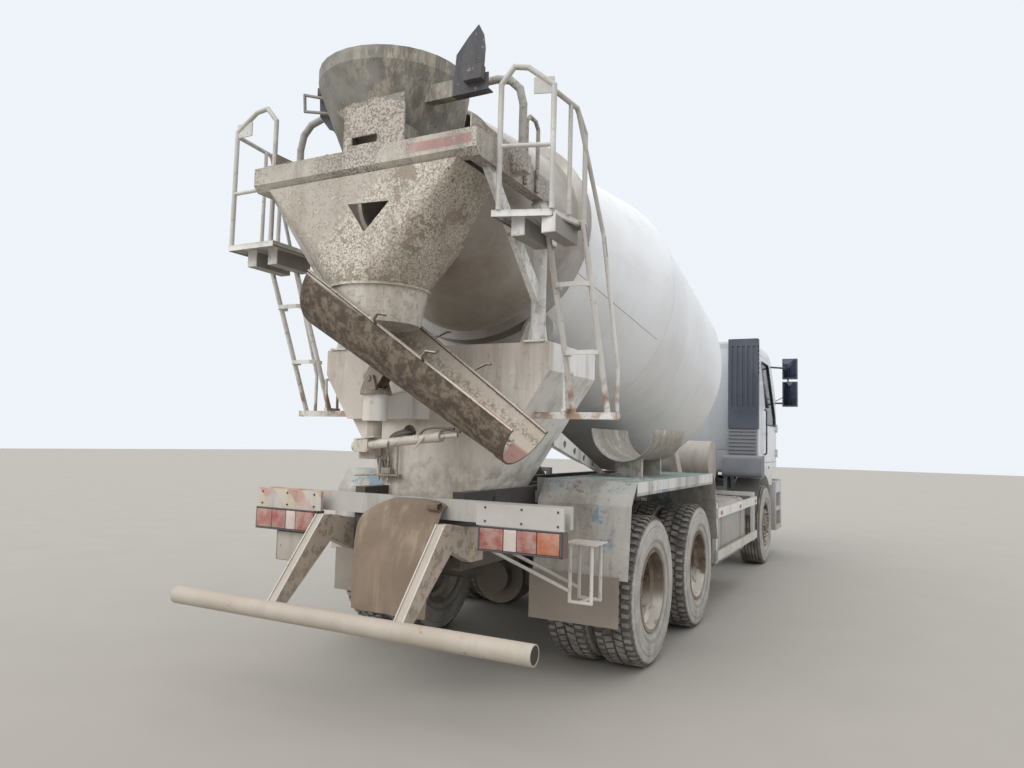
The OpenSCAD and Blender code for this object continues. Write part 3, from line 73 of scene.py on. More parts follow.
def makeCamera():
    data = bpy.data.cameras.new("camera")
    data.sensor_width = 36
    data.lens = camera["focalPixels"] / camera["imageWidth"] * data.sensor_width
    item = bpy.data.objects.new("camera", data)
    bpy.context.scene.collection.objects.link(item)
    turn = (Matrix.Rotation(camera["yaw"], 4, "Z")
            @ Matrix.Rotation(math.radians(90) + camera["pitch"], 4, "X")
            @ Matrix.Rotation(camera["roll"], 4, "Z"))
    item.matrix_world = Matrix.Translation(camera["place"]) @ turn
    bpy.context.scene.camera = item


makeCamera()


# Shader maths: a wire is a socket, and sums of wires and numbers add Math nodes
class Wire:
    def __init__(self, tree, socket):
        self.tree = tree
        self.socket = socket

    def make(self, kind, settings=None, sockets=None, output=0):
        node = self.tree.nodes.new("ShaderNode" + kind)
        for name, value in (settings or {}).items():
            if name == "stops":
                ramp = node.color_ramp
                while len(ramp.elements) < len(value):
                    ramp.elements.new(0.5)
                for element, (position, colour) in zip(ramp.elements, value):
                    element.position = position
                    element.color = (*colour, 1)
            else:
                setattr(node, name, value)
        for name, value in (sockets or {}).items():
            if isinstance(value, Wire):
                self.tree.links.new(value.socket, node.inputs[name])
            elif isinstance(value, tuple) and node.inputs[name].type == "RGBA":
                node.inputs[name].default_value = (*value, 1)
            else:
                node.inputs[name].default_value = value
        return Wire(self.tree, node.outputs[output])

    def maths(self, operation, first, second=None, clamp=False):
        sockets = {0: first} if second is None else {0: first, 1: second}
        return self.make("Math", {"operation": operation, "use_clamp": clamp}, sockets)

    @property
    def x(self):
        return self.make("SeparateXYZ", {}, {"Vector": self}, "X")

    @property
    def y(self):
        return self.make("SeparateXYZ", {}, {"Vector": self}, "Y")

    @property
    def z(self):
        return self.make("SeparateXYZ", {}, {"Vector": self}, "Z")

    def positive(self):
        return self.maths("ABSOLUTE", self)

    def __add__(self, other):
        return self.maths("ADD", self, other)

    __radd__ = __add__

    def __sub__(self, other):
        return self.maths("SUBTRACT", self, other)

    def __rsub__(self, other):
        return self.maths("SUBTRACT", other, self)

    def __mul__(self, other):
        return self.maths("MULTIPLY", self, other)

    __rmul__ = __mul__

    def feed(self, shader, name):
        self.tree.links.new(self.socket, shader.inputs[name])


def startFinish(name):
    material = bpy.data.materials.new(name)
    material.use_nodes = True
    tree = material.node_tree
    coords = tree.nodes.new("ShaderNodeTexCoord")
    return (material, tree.nodes["Principled BSDF"],
            Wire(tree, coords.outputs["Object"]), Wire(tree, coords.outputs["Normal"]))


def noise(place, scale, detail=4.0, roughness=0.55, stretch=(1, 1, 1), shift=0.0):
    moved = place.make("VectorMath", {"operation": "MULTIPLY_ADD"},
                       {0: place, 1: stretch, 2: (shift, shift * 0.7, shift * 1.3)})
    return place.make("TexNoise", {}, {"Vector": moved, "Scale": scale, "Detail": detail,
                                       "Roughness": roughness})


def rise(value, low, high):
    return value.make("MapRange", {"interpolation_type": "SMOOTHSTEP"},
                      {"Value": value, "From Min": low, "From Max": high})


def blend(factor, first, second):
    return factor.make("Mix", {"data_type": "RGBA"}, {0: factor, 6: first, 7: second}, 2)


def setBump(shader, height, strength, distance):
    bump = height.make("Bump", {}, {"Height": height, "Strength": strength, "Distance": distance})
    bump.feed(shader, "Normal")


def within(value, low, high, soft=0.01):
    return rise(value, low - soft, low + soft) * (1 - rise(value, high - soft, high + soft))


def ahead():
    # The drum's axis, which slopes down towards the cab
    return Vector((0, math.cos(truck["drumSlope"]), -math.sin(truck["drumSlope"])))


def evenly(count, offset=0.0):
    # Angles evenly round a circle
    return [2 * math.pi * (k + offset) / count for k in range(count)]


def circle(middle, radius, first, second, count):
    return [middle + radius * (math.cos(a) * first + math.sin(a) * second) for a in evenly(count)]


# What weather does to a painted or bare surface; each finish changes what it needs
weather = {
    "paint": (0.6, 0.6, 0.6), "faded": (0.5, 0.5, 0.5), "patchScale": 1.7,
    "grime": (0.10, 0.085, 0.065), "runs": 0.25, "runsFrom": 0.5,
    "dust": (0.36, 0.31, 0.25), "lowDust": 0.45, "dustTop": 1.6, "topDust": 0.35,
    "rust": (0.17, 0.075, 0.035), "rustFrom": 0.64, "rustScale": 6.0, "rustAmount": 0.9,
    "crust": (0.46, 0.43, 0.385), "crustFrom": 0.72, "crustScale": 20.0, "crustAmount": 0.9,
    "speck": (0.17, 0.145, 0.12), "speckFrom": 0.56, "speckScale": 60.0, "speckAmount": 0.0, "dents": 0.0,
    "roughness": 0.45, "metallic": 0.0, "bump": 0.25, "coat": 0.0,
}


def weathered(name, extra=None, slot=None, **changes):
    look = {**weather, **changes}
    material, shader, place, facing = startFinish(name)

    def patches(kind, detail, roughness, shift, soft):
        grain = noise(place, look[kind + "Scale"], detail, roughness, shift=shift)
        return rise(grain, look[kind + "From"], look[kind + "From"] + soft) * look[kind + "Amount"]

    fine = noise(place, 70, 3, 0.6, shift=3.1)
    colour = blend(rise(noise(place, look["patchScale"], 5), 0.4, 0.62), look["paint"], look["faded"])
    if look["speckAmount"]:
        speck = patches("speck", 4, 0.7, 53.0, 0.08) * rise(noise(place, 2.2, 4, shift=61.0), 0.30, 0.55)
        colour = blend(speck, colour, look["speck"])
    if extra:
        colour = extra(place, facing, colour)
    runs = rise(noise(place, 5, 5, 0.65, (1, 1, 0.13), 7.3), look["runsFrom"], look["runsFrom"] + 0.22)
    colour = blend(runs * look["runs"], colour, look["grime"])
    rust = patches("rust", 7, 0.68, 17.9, 0.05)
    colour = blend(rust, colour, blend(fine, look["rust"], tuple(0.45 * c for c in look["rust"])))
    cloud = 0.35 + noise(place, 3.3, 5, 0.6, shift=5.2) * 1.3
    low = 1 - rise(place.z, 0.2, look["dustTop"])
    top = rise(facing.z, 0.35, 0.95)
    dusty = cloud.maths("MULTIPLY", cloud, low * look["lowDust"] + top * look["topDust"], True)
    colour = blend(dusty, colour, look["dust"])
    crust = patches("crust", 6, 0.72, 29.0, 0.04)
    colour = blend(crust, colour, blend(fine, look["crust"], tuple(0.7 * c for c in look["crust"])))
    colour.feed(shader, "Base Color")
    rough = look["roughness"] + (dusty + crust + rust) * 0.3 + fine * 0.12
    rough.maths("MINIMUM", rough, 0.97).feed(shader, "Roughness")
    shader.inputs["Metallic"].default_value = look["metallic"]
    shader.inputs["Coat Weight"].default_value = look["coat"]
    height = crust + rust * 0.35 + fine * 0.25
    if look["dents"]:
        height = height + noise(place, 2.6, 2, 0.4, shift=71.0) * look["dents"]
    setBump(shader, height, look["bump"], 0.006)
    return material


def dress(material, *names):
    for name in names:
        nodes[name].data.materials.clear()
        nodes[name].data.materials.append(material)


def rounded(points, bend, steps=5):
    if bend <= 0 or len(points) < 3:
        return points
    line = [points[0]]
    for before, here, after in zip(points, points[1:], points[2:]):
        reach = min(bend, (before - here).length * 0.45, (after - here).length * 0.45)
        first = here + (before - here).normalized() * reach
        last = here + (after - here).normalized() * reach
        for k in range(steps + 1):
            t = k / steps
            line.append(first.lerp(here, t).lerp(here.lerp(last, t), t))
    line.append(points[-1])
    return line


# Mesh building: one shape collects the faces of one piece
class Shape:
    def __init__(self, place=None):
        self.mesh = bmesh.new()
        self.place = place or Matrix.Translation(spot(0, 0, 0))

    def point(self, at):
        return self.mesh.verts.new(self.place @ Vector(at))

    def face(self, corners):
        try:
            return self.mesh.faces.new(corners)
        except ValueError:
            return None

    def box(self, low, high, bevel=0.0, turn=None, side=1):
        # side -1 puts the box at the same place on the left
        middle = (Vector(low) + Vector(high)) / 2
        middle.x *= side
        size = Vector(high) - Vector(low)
        matrix = self.place @ Matrix.Translation(middle) @ (turn or Matrix()) @ Matrix.Diagonal((*size, 1))
        made = bmesh.ops.create_cube(self.mesh, size=1.0, matrix=matrix)
        if bevel:
            edges = list({e for v in made["verts"] for e in v.link_edges})
            bmesh.ops.bevel(self.mesh, geom=edges, offset=bevel, segments=2, profile=0.6, affect="EDGES")

    def tube(self, points, radius, sides=10, bend=0.0, closed=True):
        line = rounded([Vector(p) for p in points], bend)
        rings = []
        side = None
        for i, here in enumerate(line):
            along = (line[min(i + 1, len(line) - 1)] - line[max(i - 1, 0)]).normalized()
            if side is None:
                side = along.orthogonal().normalized()
            side = (side - along * side.dot(along)).normalized()
            rings.append([self.point(p) for p in circle(here, radius, side, along.cross(side), sides)])
        for first, second in zip(rings, rings[1:]):
            for k in range(sides):
                self.face([first[k], first[(k + 1) % sides], second[(k + 1) % sides], second[k]])
        if closed:
            self.face(rings[0][::-1])
            self.face(rings[-1])

    def bolt(self, at, direction, size=0.012):
        out = Vector(direction).normalized()
        at = Vector(at)
        self.tube([at - out * 0.002, at + out * size * 0.25], size * 0.95, 10)
        self.tube([at + out * size * 0.2, at + out * size * 0.95], size * 0.62, 6)

    def lathe(self, profile, centre, along, sides=32):
        # profile rows are distance along the axis, radius
        along = Vector(along).normalized()
        side = along.orthogonal().normalized()
        other = along.cross(side)
        rings = []
        for a in evenly(sides):
            out = math.cos(a) * side + math.sin(a) * other
            rings.append([self.point(Vector(centre) + along * s + out * r) for s, r in profile])
        for first, second in zip(rings, rings[1:] + rings[:1]):
            for i in range(len(profile) - 1):
                self.face([first[i], first[i + 1], second[i + 1], second[i]])

    def sheet(self, rows, thickness):
        made = [[self.point(p) for p in row] for row in rows]
        faces = [self.face([made[i][j], made[i][j + 1], made[i + 1][j + 1], made[i + 1][j]])
                 for i in range(len(made) - 1) for j in range(len(made[0]) - 1)]
        faces = [f for f in faces if f]
        bmesh.ops.recalc_face_normals(self.mesh, faces=faces)
        bmesh.ops.solidify(self.mesh, geom=faces, thickness=thickness)

    def plate(self, corners, thickness, out):
        # A flat plate from its corners, thickened towards out
        out = Vector(out) * thickness
        low = [self.point(p) for p in corners]
        high = [self.point(Vector(p) + out) for p in corners]
        self.face(low[::-1])
        self.face(high)
        for k in range(len(low)):
            self.face([low[k], low[(k + 1) % len(low)], high[(k + 1) % len(low)], high[k]])

    def lug(self, section, middle, start, end, lean=0.0, taper=0.003):
        # A block of tread from its section, rows of x and radius, between two angles
        rings = []
        low = min(r for x, r in section)
        for angle, sign in ((start, 1), (end, -1)):
            ring = []
            for x, r in section:
                a = angle + lean * x + sign * taper * (r - low) / 0.017 / r
                ring.append(self.point((middle + x, r * math.cos(a), r * math.sin(a))))
            rings.append(ring)
        for k in range(len(section)):
            after = (k + 1) % len(section)
            self.face([rings[0][k], rings[0][after], rings[1][after], rings[1][k]])
        self.face(rings[0])
        self.face(rings[1][::-1])

    def lump(self, at, size, seed):
        # A small clod, squashed and uneven
        matrix = self.place @ Matrix.Translation(at) @ Matrix.Diagonal((*size, 1))
        made = bmesh.ops.create_icosphere(self.mesh, subdivisions=2, radius=1.0, matrix=matrix)
        dice = random.Random(seed)
        middle = self.place @ Vector(at)
        for v in made["verts"]:
            v.co = middle + (v.co - middle) * dice.uniform(0.75, 1.2)

    def finish(self, name, body, material, smooth=35, at=None):
        bmesh.ops.recalc_face_normals(self.mesh, faces=self.mesh.faces)
        data = bpy.data.meshes.new(name)
        self.mesh.to_mesh(data)
        self.mesh.free()
        data.materials.append(material)
        data.shade_smooth()
        data.set_sharp_from_angle(angle=math.radians(smooth))
        return placed(name, data, body, at)


def placed(name, data, body, at=None):
    item = bpy.data.objects.new(name, data)
    bpy.context.scene.collection.objects.link(item)
    if at:
        item.matrix_world = at
    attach(item, body)
    return item


def ladderRustAndShade(place, facing, colour):
    # Duller rails, rust near the ladders' feet, and painted shade on faces that point down or sideways at
    # the platforms' height
    rails = rise(place.z, 2.86, 2.90) * rise(noise(place, 4, 5, shift=21), 0.2, 0.5)
    colour = blend(rails * 0.7, colour, (0.40, 0.385, 0.355))
    low = within(place.z, 1.70, 1.98, 0.12) * rise(noise(place, 9, 4), 0.42, 0.6)
    colour = blend(low * 0.85, colour, (0.30, 0.15, 0.075))
    # Painted shade: the platforms' undersides and the tubes' sides are darkened
    sideways = facing.x.positive()
    under = 1 - rise(facing.z, -0.9, -0.5) * (1 - rise(sideways, 0.7, 0.9))
    return blend(under * within(place.z, 2.74, 2.858, 0.004) * 0.8, colour, (0.17, 0.155, 0.135))


def beamStripe(place, facing, colour):
    # Worn red band on the right half of the beam, cleaner posts below it
    band = rise(place.x, 0.28, 0.50) * (1 - rise(place.x, 0.79, 0.80))
    band = band * within(place.z, 3.212, 3.270, 0.005) * (1 - rise(place.y, -4.47, -4.46))
    colour = blend(band * rise(noise(place, 20, 5, 0.7), 0.22, 0.42) * 0.78, colour, (0.35, 0.15, 0.135))
    post = (1 - rise(place.z, 3.11, 3.14)) * rise(noise(place, 7, 5, shift=13), 0.25, 0.42)
    return blend(post * 0.9, colour, (0.90, 0.89, 0.86))


def funnelCrustAndShade(place, facing, colour):
    # Thick cream crust on the right half, fallen off in places down to brown, and painted shade on faces
    # that point right
    half = rise(place.x * 0.9 - place.z + noise(place, 3, 4) * 0.25, -2.88, -2.74)
    grain = rise(noise(place, 78, 4, 0.8), 0.42, 0.55)
    colour = blend(half * 0.85, colour, blend(grain, (0.20, 0.16, 0.12), (0.66, 0.61, 0.52)))
    collar = 1 - rise(place.z + noise(place, 4, 4) * 0.06, 2.50, 2.54)
    fallen = rise(noise(place, 4.5, 7, 0.66, shift=83.0), 0.56, 0.575) * (half * 0.8 + 0.12) * (1 - collar)
    colour = blend(fallen * 0.9, colour, (0.24, 0.185, 0.135))
    # Painted shade: faces that point right, under the platform, are darkened
    side = rise(facing.x, 0.45, 0.7) * rise(noise(place, 6, 6, 0.7, shift=9), 0.42, 0.6)
    colour = blend(side * 0.35, colour, (0.30, 0.25, 0.195))
    return blend(collar * 0.85, colour, (0.66, 0.61, 0.535))


def bowlParts(place, facing, colour):
    # Pale crust on the foot, brown drips on the right, a dark splash leaf
    x, y, z = place.x, place.y, place.z
    drips = rise(noise(place, 16, 7, 0.75, (1, 1, 0.2), 19), 0.47, 0.56) * rise(x, -0.15, 0.2)
    colour = blend(drips * 0.75, colour, (0.43, 0.38, 0.305))
    edge = z + noise(place, 9, 4) * 0.10 + rise(x, 0.20, 0.36) * 0.07
    foot = (1 - rise(y, -4.45, -4.43)) * (1 - rise(edge, 3.625, 3.635))
    grain = rise(noise(place, 75, 5, 0.7), 0.46, 0.62)
    colour = blend(foot, colour, blend(grain, (0.50, 0.455, 0.395), (0.20, 0.165, 0.13)))
    leaf = rise(x, 0.54, 0.56) * (1 - rise(y, -4.24, -4.22))
    colour = blend(leaf * 0.85, colour, (0.05, 0.055, 0.07))
    pipe = rise(x.positive(), 0.478, 0.486) * within(y, -4.056, -3.994, 0.004)
    return blend(pipe * 0.8, colour, (0.42, 0.415, 0.39))


def cabBack(place, facing, colour):
    # The rear wall, behind the drum, is dirtier and darkened with painted shade from the drum
    back = (1 - rise(facing.y, -0.9, -0.6)) * (1 - rise(place.y, 2.9, 3.0))
    return blend(back * 0.8, colour, (0.36, 0.395, 0.43))


def armSides(place, facing, colour):
    # The arms' sides are brown with mud and rust
    sideways = facing.x.positive()
    arm = rise(sideways, 0.6, 0.9) * rise(place.z, 0.60, 0.66) * within(place.x, -0.6, 0.6) * 0.9
    colour = blend(arm * rise(noise(place, 6, 6, 0.7), 0.25, 0.5), colour, (0.50, 0.42, 0.335))
    spots = rise(noise(place, 17, 6, 0.7, shift=4), 0.50, 0.58)
    return blend(arm * spots * 0.7, colour, (0.17, 0.115, 0.08))


def litRightSides(place, facing, colour):
    # Faces that point right are painted lighter as painted light, the foot is stained
    right = rise(facing.x, 0.35, 0.7)
    colour = blend(right * 0.8, colour, (0.86, 0.86, 0.83))
    foot = 1 - rise(place.z + noise(place, 4, 5) * 0.3, 1.50, 1.62)
    return blend(foot * rise(noise(place, 9, 6, 0.7), 0.4, 0.6) * 0.6, colour, (0.30, 0.25, 0.20))


def rimDustAndLight(place, facing, colour):
    # Pale dust and painted light from above on the upward-facing lower half of the barrel
    low = rise(facing.z, 0.05, 0.6) * (1 - rise(place.z, 0.42, 0.60))
    return blend(low * 0.95, colour, (0.88, 0.84, 0.77))


def deckTop(place, facing, colour):
    # Turquoise above, faded blue paint left on the upright plates
    worn = rise(noise(place, 6, 6, 0.65, shift=11), 0.44, 0.6)
    patch = rise(noise(place, 3.4, 6, 0.6, shift=41), 0.57, 0.6) * within(place.z, 0.9, 1.33, 0.03)
    colour = blend(patch * 0.75, colour, (0.10, 0.24, 0.36))
    edge = rise(facing.x, 0.5, 0.8) * rise(place.z, 1.262, 1.270)
    colour = blend(edge * 0.8, colour, (0.74, 0.74, 0.71))
    top = rise(facing.z, 0.5, 0.8) * rise(place.z, 1.2, 1.3)
    return blend(top, colour, blend(worn, (0.13, 0.31, 0.33), (0.42, 0.48, 0.47)))


def drumDirt(place, facing, colour):
    # The rear cone is stained up to the ring, and a thin dark seam runs along the right side
    ring = spot(0, truck["ringY"], truck["ringZ"])
    shifted = place.make("VectorMath", {"operation": "SUBTRACT"}, {0: place, 1: tuple(ring)})
    along = shifted.make("VectorMath", {"operation": "DOT_PRODUCT"}, {0: shifted, 1: tuple(ahead())}, 1)
    stained = 1 - rise(along + noise(place, 5, 5, 0.7) * 0.16, -0.02, 0.14)
    colour = blend(stained * (0.5 + noise(place, 2.5, 6, 0.65) * 0.75), colour, (0.27, 0.225, 0.175))
    for s in drum["welds"]:
        colour = blend(within(along, s - 0.004, s + 0.004, 0.003) * 0.3, colour, (0.33, 0.33, 0.33))
    across = Matrix.Rotation(drum["seamTurn"], 3, ahead()) @ Vector((1, 0, 0))
    seam = shifted.make("VectorMath", {"operation": "DOT_PRODUCT"}, {0: shifted, 1: tuple(across)}, 1)
    seam = within(seam, -0.003, 0.003, 0.002) * within(along, *drum["seam"]) * rise(place.x, 0.1, 0.2)
    return blend(seam * 0.75, colour, (0.16, 0.15, 0.14))


def chuteSides(place, facing, colour):
    # Pale inside, brown crust outside, a brown band of crust and painted shade along the near wall, and
    # bare red-brown paint at the low end
    inside = rise(facing.z, -0.12, 0.1)
    outside = blend(rise(noise(place, 16, 7, 0.75), 0.44, 0.6), (0.085, 0.062, 0.045), (0.21, 0.165, 0.125))
    wall = -1 * facing.y
    grain = noise(place, 48, 5, 0.75)
    near = rise(place.x, 0.35, 0.85) * 0.4
    # A brown band where the inner wall faces away: crust, and painted shade along the near edge
    crustAndShadeBand = (1 - rise(wall + near + noise(place, 8, 5) * 0.2, 0.92, 1.04)) * rise(grain, 0.34, 0.46)
    tide = within(wall + noise(place, 6, 5) * 0.12, 0.95, 1.03, 0.03) * rise(grain, 0.46, 0.58)
    brown = (0.20, 0.15, 0.11)
    colour = blend(tide * 0.75, blend(crustAndShadeBand * 0.85, colour, brown), brown)
    colour = blend(inside, outside, colour)
    low = rise(place.x + noise(place, 9, 4) * 0.10, 0.90, 0.92) * (1 - rise(wall, 0.66, 0.76))
    return blend(low * rise(facing.z, 0.1, 0.3) * 0.9, colour, (0.30, 0.135, 0.115))


def spareSides(place, facing, colour):
    # The stored trough's outside, which faces down, is painted browner and darker as painted shade
    outside = 1 - rise(facing.z, -0.3, -0.05)
    return blend(outside * rise(noise(place, 12, 6, 0.7), 0.3, 0.5) * 0.75, colour, (0.30, 0.26, 0.205))


def beltStreaks(place, facing, colour):
    # Water has washed paler streaks down the belt
    streak = rise(noise(place, 11, 4, 0.6, (1, 1, 0.06), 31), 0.48, 0.72)
    return blend(streak * 0.5, colour, (0.42, 0.335, 0.25))


def lampBoard(place, facing, colour):
    # Faded red and yellow diagonals on the left board, dark housings below
    slant = place.x + place.z
    turns = slant.maths("PINGPONG", slant, 0.13)
    left = (1 - rise(place.x, -0.6, -0.59)) * rise(place.z, 1.1, 1.102)
    faded = left * rise(noise(place, 5, 5), 0.34, 0.56)
    colour = blend(faded * rise(turns, 0.06, 0.066) * 0.75, colour, (0.50, 0.25, 0.20))
    colour = blend(faded * (1 - rise(turns, 0.06, 0.066)) * 0.5, colour, (0.62, 0.50, 0.26))
    low = 1 - rise(place.z, 1.098, 1.101)
    return blend(low, colour, (0.12, 0.07, 0.06))


# What the pale paints of the mixer have in common
muddy = {"slot": "mixer_paint", "dust": (0.46, 0.40, 0.33), "dustTop": 2.2, "crust": (0.60, 0.56, 0.50),
         "crustScale": 16, "rustScale": 9, "bump": 0.35, "dents": 0.8}
drum = {"welds": (1.27, 3.28), "seam": (0.06, 1.20), "seamTurn": math.radians(112)}

chassisPaint = weathered("chassis paint", slot="chassis_dark", paint=(0.035, 0.034, 0.033),
    faded=(0.06, 0.055, 0.05), lowDust=0.8, dustTop=1.5, topDust=0.7, dust=(0.20, 0.17, 0.135),
    rustFrom=0.66, rustAmount=0.5, roughness=0.6, crustFrom=0.72)
palePaint = weathered("pale machine paint", **muddy, paint=(0.60, 0.565, 0.51), faded=(0.50, 0.46, 0.405),
    runs=0.45, runsFrom=0.48, grime=(0.27, 0.215, 0.165), lowDust=0.5, crustFrom=0.62, rustFrom=0.7,
    speckAmount=0.35, speckFrom=0.6, speckScale=34)
pedestalPaint = weathered("pedestal paint", litRightSides, **muddy, paint=(0.66, 0.615, 0.55),
    faded=(0.56, 0.51, 0.45), runs=0.5, runsFrom=0.46, grime=(0.25, 0.20, 0.155), lowDust=0.3,
    crustFrom=0.64, rustFrom=0.68, speckAmount=0.4, speckFrom=0.58, speckScale=26)
barPaint = weathered("bar paint", armSides, slot="mixer_paint", paint=(0.43, 0.39, 0.34),
    faded=(0.36, 0.32, 0.27), runs=0.3, lowDust=0.35, dust=(0.44, 0.37, 0.30), rust=(0.24, 0.16, 0.11),
    rustFrom=0.64, rustScale=7, speckAmount=0.35, speckFrom=0.6, speckScale=30, crustFrom=0.66, bump=0.3)
ladderPaint = weathered("ladder paint", ladderRustAndShade, slot="ladder_paint", paint=(0.76, 0.75, 0.72),
    faded=(0.62, 0.60, 0.56), runs=0.35, crustFrom=0.6, crustScale=30, rustFrom=0.68, rustScale=12,
    rustAmount=0.7, bump=0.3)
beamPaint = weathered("hopper beam paint", beamStripe, slot="mixer_paint", paint=(0.50, 0.46, 0.40),
    faded=(0.40, 0.36, 0.305), runs=0.4, runsFrom=0.45, crust=(0.56, 0.52, 0.46), crustFrom=0.58,
    crustScale=30, rustFrom=0.70, rustScale=14, speckAmount=0.95, speckFrom=0.47, speckScale=75, bump=0.5)
hopperPaint = weathered("collector crust and shade", funnelCrustAndShade, slot="collector_steel", paint=(0.43, 0.385, 0.325),
    faded=(0.36, 0.315, 0.26), runs=0.5, runsFrom=0.45, grime=(0.26, 0.205, 0.155),
    crust=(0.64, 0.59, 0.51), crustFrom=0.55, crustScale=24, rust=(0.20, 0.135, 0.09), rustFrom=0.64,
    rustScale=8, speckAmount=0.6, speckFrom=0.56, speckScale=52, bump=0.7, dents=1.2)
bowlCrust = weathered("bowl crust", bowlParts, slot="hopper_steel", paint=(0.27, 0.26, 0.235),
    faded=(0.19, 0.18, 0.155), patchScale=5, runs=0.5, grime=(0.10, 0.09, 0.075),
    crust=(0.38, 0.345, 0.285), crustFrom=0.58, crustScale=26, rustFrom=0.66, rust=(0.12, 0.085, 0.06),
    roughness=0.75, topDust=0.5, bump=0.6, dents=0.6)
drumPaint = weathered("drum paint", drumDirt, slot="drum_paint", paint=(0.80, 0.815, 0.83),
    faded=(0.74, 0.745, 0.75), runs=0.1, topDust=0.05, lowDust=0.35, dustTop=3.2, dust=(0.50, 0.47, 0.42),
    rustFrom=0.79, rustScale=16, crustFrom=0.74, crustScale=30, roughness=0.3, coat=0.25, bump=0.12)
cabPaint = weathered("cab paint", cabBack, slot="cab_paint", paint=(0.72, 0.735, 0.75),
    faded=(0.67, 0.68, 0.69), runs=0.12, lowDust=0.5, dustTop=2.0, topDust=0.12, rustFrom=0.8,
    crustFrom=0.8, roughness=0.3, coat=0.3, bump=0.08)
plastic = weathered("dark plastic", slot="box_plastic", paint=(0.05, 0.060, 0.084),
    faded=(0.075, 0.088, 0.118), runs=0.15, topDust=0.5, dust=(0.24, 0.22, 0.19), rustAmount=0.0,
    crustFrom=0.74, roughness=0.55, bump=0.15)
filterPlastic = weathered("grey plastic", slot="filter_plastic", paint=(0.18, 0.19, 0.222),
    faded=(0.22, 0.23, 0.255), runs=0.15, topDust=0.5, lowDust=0.2, dust=(0.30, 0.29, 0.27), rustAmount=0.0,
    crustFrom=0.74, roughness=0.6, bump=0.15)
bumperPaint = weathered("bumper paint", slot="bumper_paint", paint=(0.62, 0.63, 0.63),
    faded=(0.54, 0.54, 0.53), runs=0.25, lowDust=0.8, dustTop=1.1, rustFrom=0.76, crustFrom=0.72,
    roughness=0.45, bump=0.12)
mudguardPaint = weathered("mudguard paint", deckTop, slot="deck_paint", paint=(0.50, 0.485, 0.45),
    faded=(0.40, 0.39, 0.365), runs=0.6, runsFrom=0.42, grime=(0.17, 0.135, 0.10), lowDust=0.5, dustTop=1.3,
    topDust=0.3, dust=(0.38, 0.335, 0.275), rustFrom=0.64, rustAmount=0.6, crustFrom=0.66, crustScale=14,
    speckAmount=0.5, speckScale=22, roughness=0.6, dents=1.5)
rubber = weathered("dusty rubber", slot="flap_rubber", paint=(0.14, 0.125, 0.11), faded=(0.20, 0.175, 0.15),
    dust=(0.34, 0.295, 0.245), lowDust=0.8, dustTop=1.8, topDust=0.5, runs=0.35, rustAmount=0.0,
    crustFrom=0.66, roughness=0.75)
beltRubber = weathered("muddy belt", beltStreaks, slot="apron_rubber", paint=(0.235, 0.175, 0.128),
    faded=(0.185, 0.138, 0.10), patchScale=4, dust=(0.40, 0.33, 0.255), lowDust=0.1, topDust=0.3, runs=0.3,
    runsFrom=0.5, grime=(0.12, 0.09, 0.068), rustAmount=0.0, crustFrom=0.76, crustScale=10, roughness=0.8,
    bump=0.3, dents=0.6)
steel = weathered("worn steel", slot="ring_steel", paint=(0.42, 0.41, 0.39), faded=(0.30, 0.27, 0.24),
    metallic=0.4, roughness=0.45, topDust=0.5, lowDust=0.5, rustFrom=0.64, rustAmount=0.6)
jackPaint = weathered("stained post paint", slot="swivel_steel", paint=(0.42, 0.37, 0.31),
    faded=(0.22, 0.18, 0.14), runs=0.6, runsFrom=0.42, grime=(0.13, 0.105, 0.08), crustFrom=0.55,
    crustScale=22, rustFrom=0.6, rustScale=11, bump=0.45)
tankMetal = weathered("tank metal", slot="tank_metal", paint=(0.50, 0.50, 0.49), faded=(0.40, 0.40, 0.39),
    metallic=0.4, roughness=0.45, lowDust=0.65, dustTop=1.6, topDust=0.6, rustAmount=0.0)
guardMetal = weathered("side guard metal", slot="guard_metal", paint=(0.82, 0.80, 0.76),
    faded=(0.68, 0.66, 0.62), metallic=0.2, roughness=0.5, lowDust=0.55, dustTop=1.2, topDust=0.6,
    rustAmount=0.0)
rimPaint = weathered("muddy rim paint and light", rimDustAndLight, slot="rim_paint", paint=(0.21, 0.165, 0.12),
    faded=(0.12, 0.085, 0.06), patchScale=5, dust=(0.42, 0.37, 0.31), lowDust=0.35, dustTop=0.75,
    topDust=0.3, runs=0.3, rust=(0.15, 0.08, 0.045), rustFrom=0.56, rustScale=7, crustFrom=0.62,
    crustScale=14, roughness=0.65)
chutePaint = weathered("chute crust and shade", chuteSides, slot="chute_steel", paint=(0.58, 0.53, 0.46),
    faded=(0.48, 0.43, 0.36), runs=0.2, dust=(0.50, 0.45, 0.39), topDust=0.2, lowDust=0.1,
    crust=(0.40, 0.35, 0.29), crustFrom=0.64, crustScale=13, crustAmount=0.6, rust=(0.11, 0.065, 0.04),
    rustFrom=0.6, rustScale=10, roughness=0.75, bump=0.7, dents=0.8)
spareCrustAndShade = weathered("stored chute crust and shade", spareSides, slot="chute_steel", paint=(0.62, 0.59, 0.54),
    faded=(0.46, 0.42, 0.36), runs=0.5, runsFrom=0.42, grime=(0.17, 0.13, 0.10), crustFrom=0.5,
    crustScale=12, rustFrom=0.62, rustScale=11, roughness=0.75, bump=0.6)
boardPaint = weathered("lamp board paint", lampBoard, slot="lamp_plastic", paint=(0.52, 0.50, 0.47),
    faded=(0.44, 0.42, 0.39), runs=0.4, lowDust=0.3, topDust=0.5, rustFrom=0.68, rustScale=11,
    crustFrom=0.7, bump=0.2)
print("finishes made")

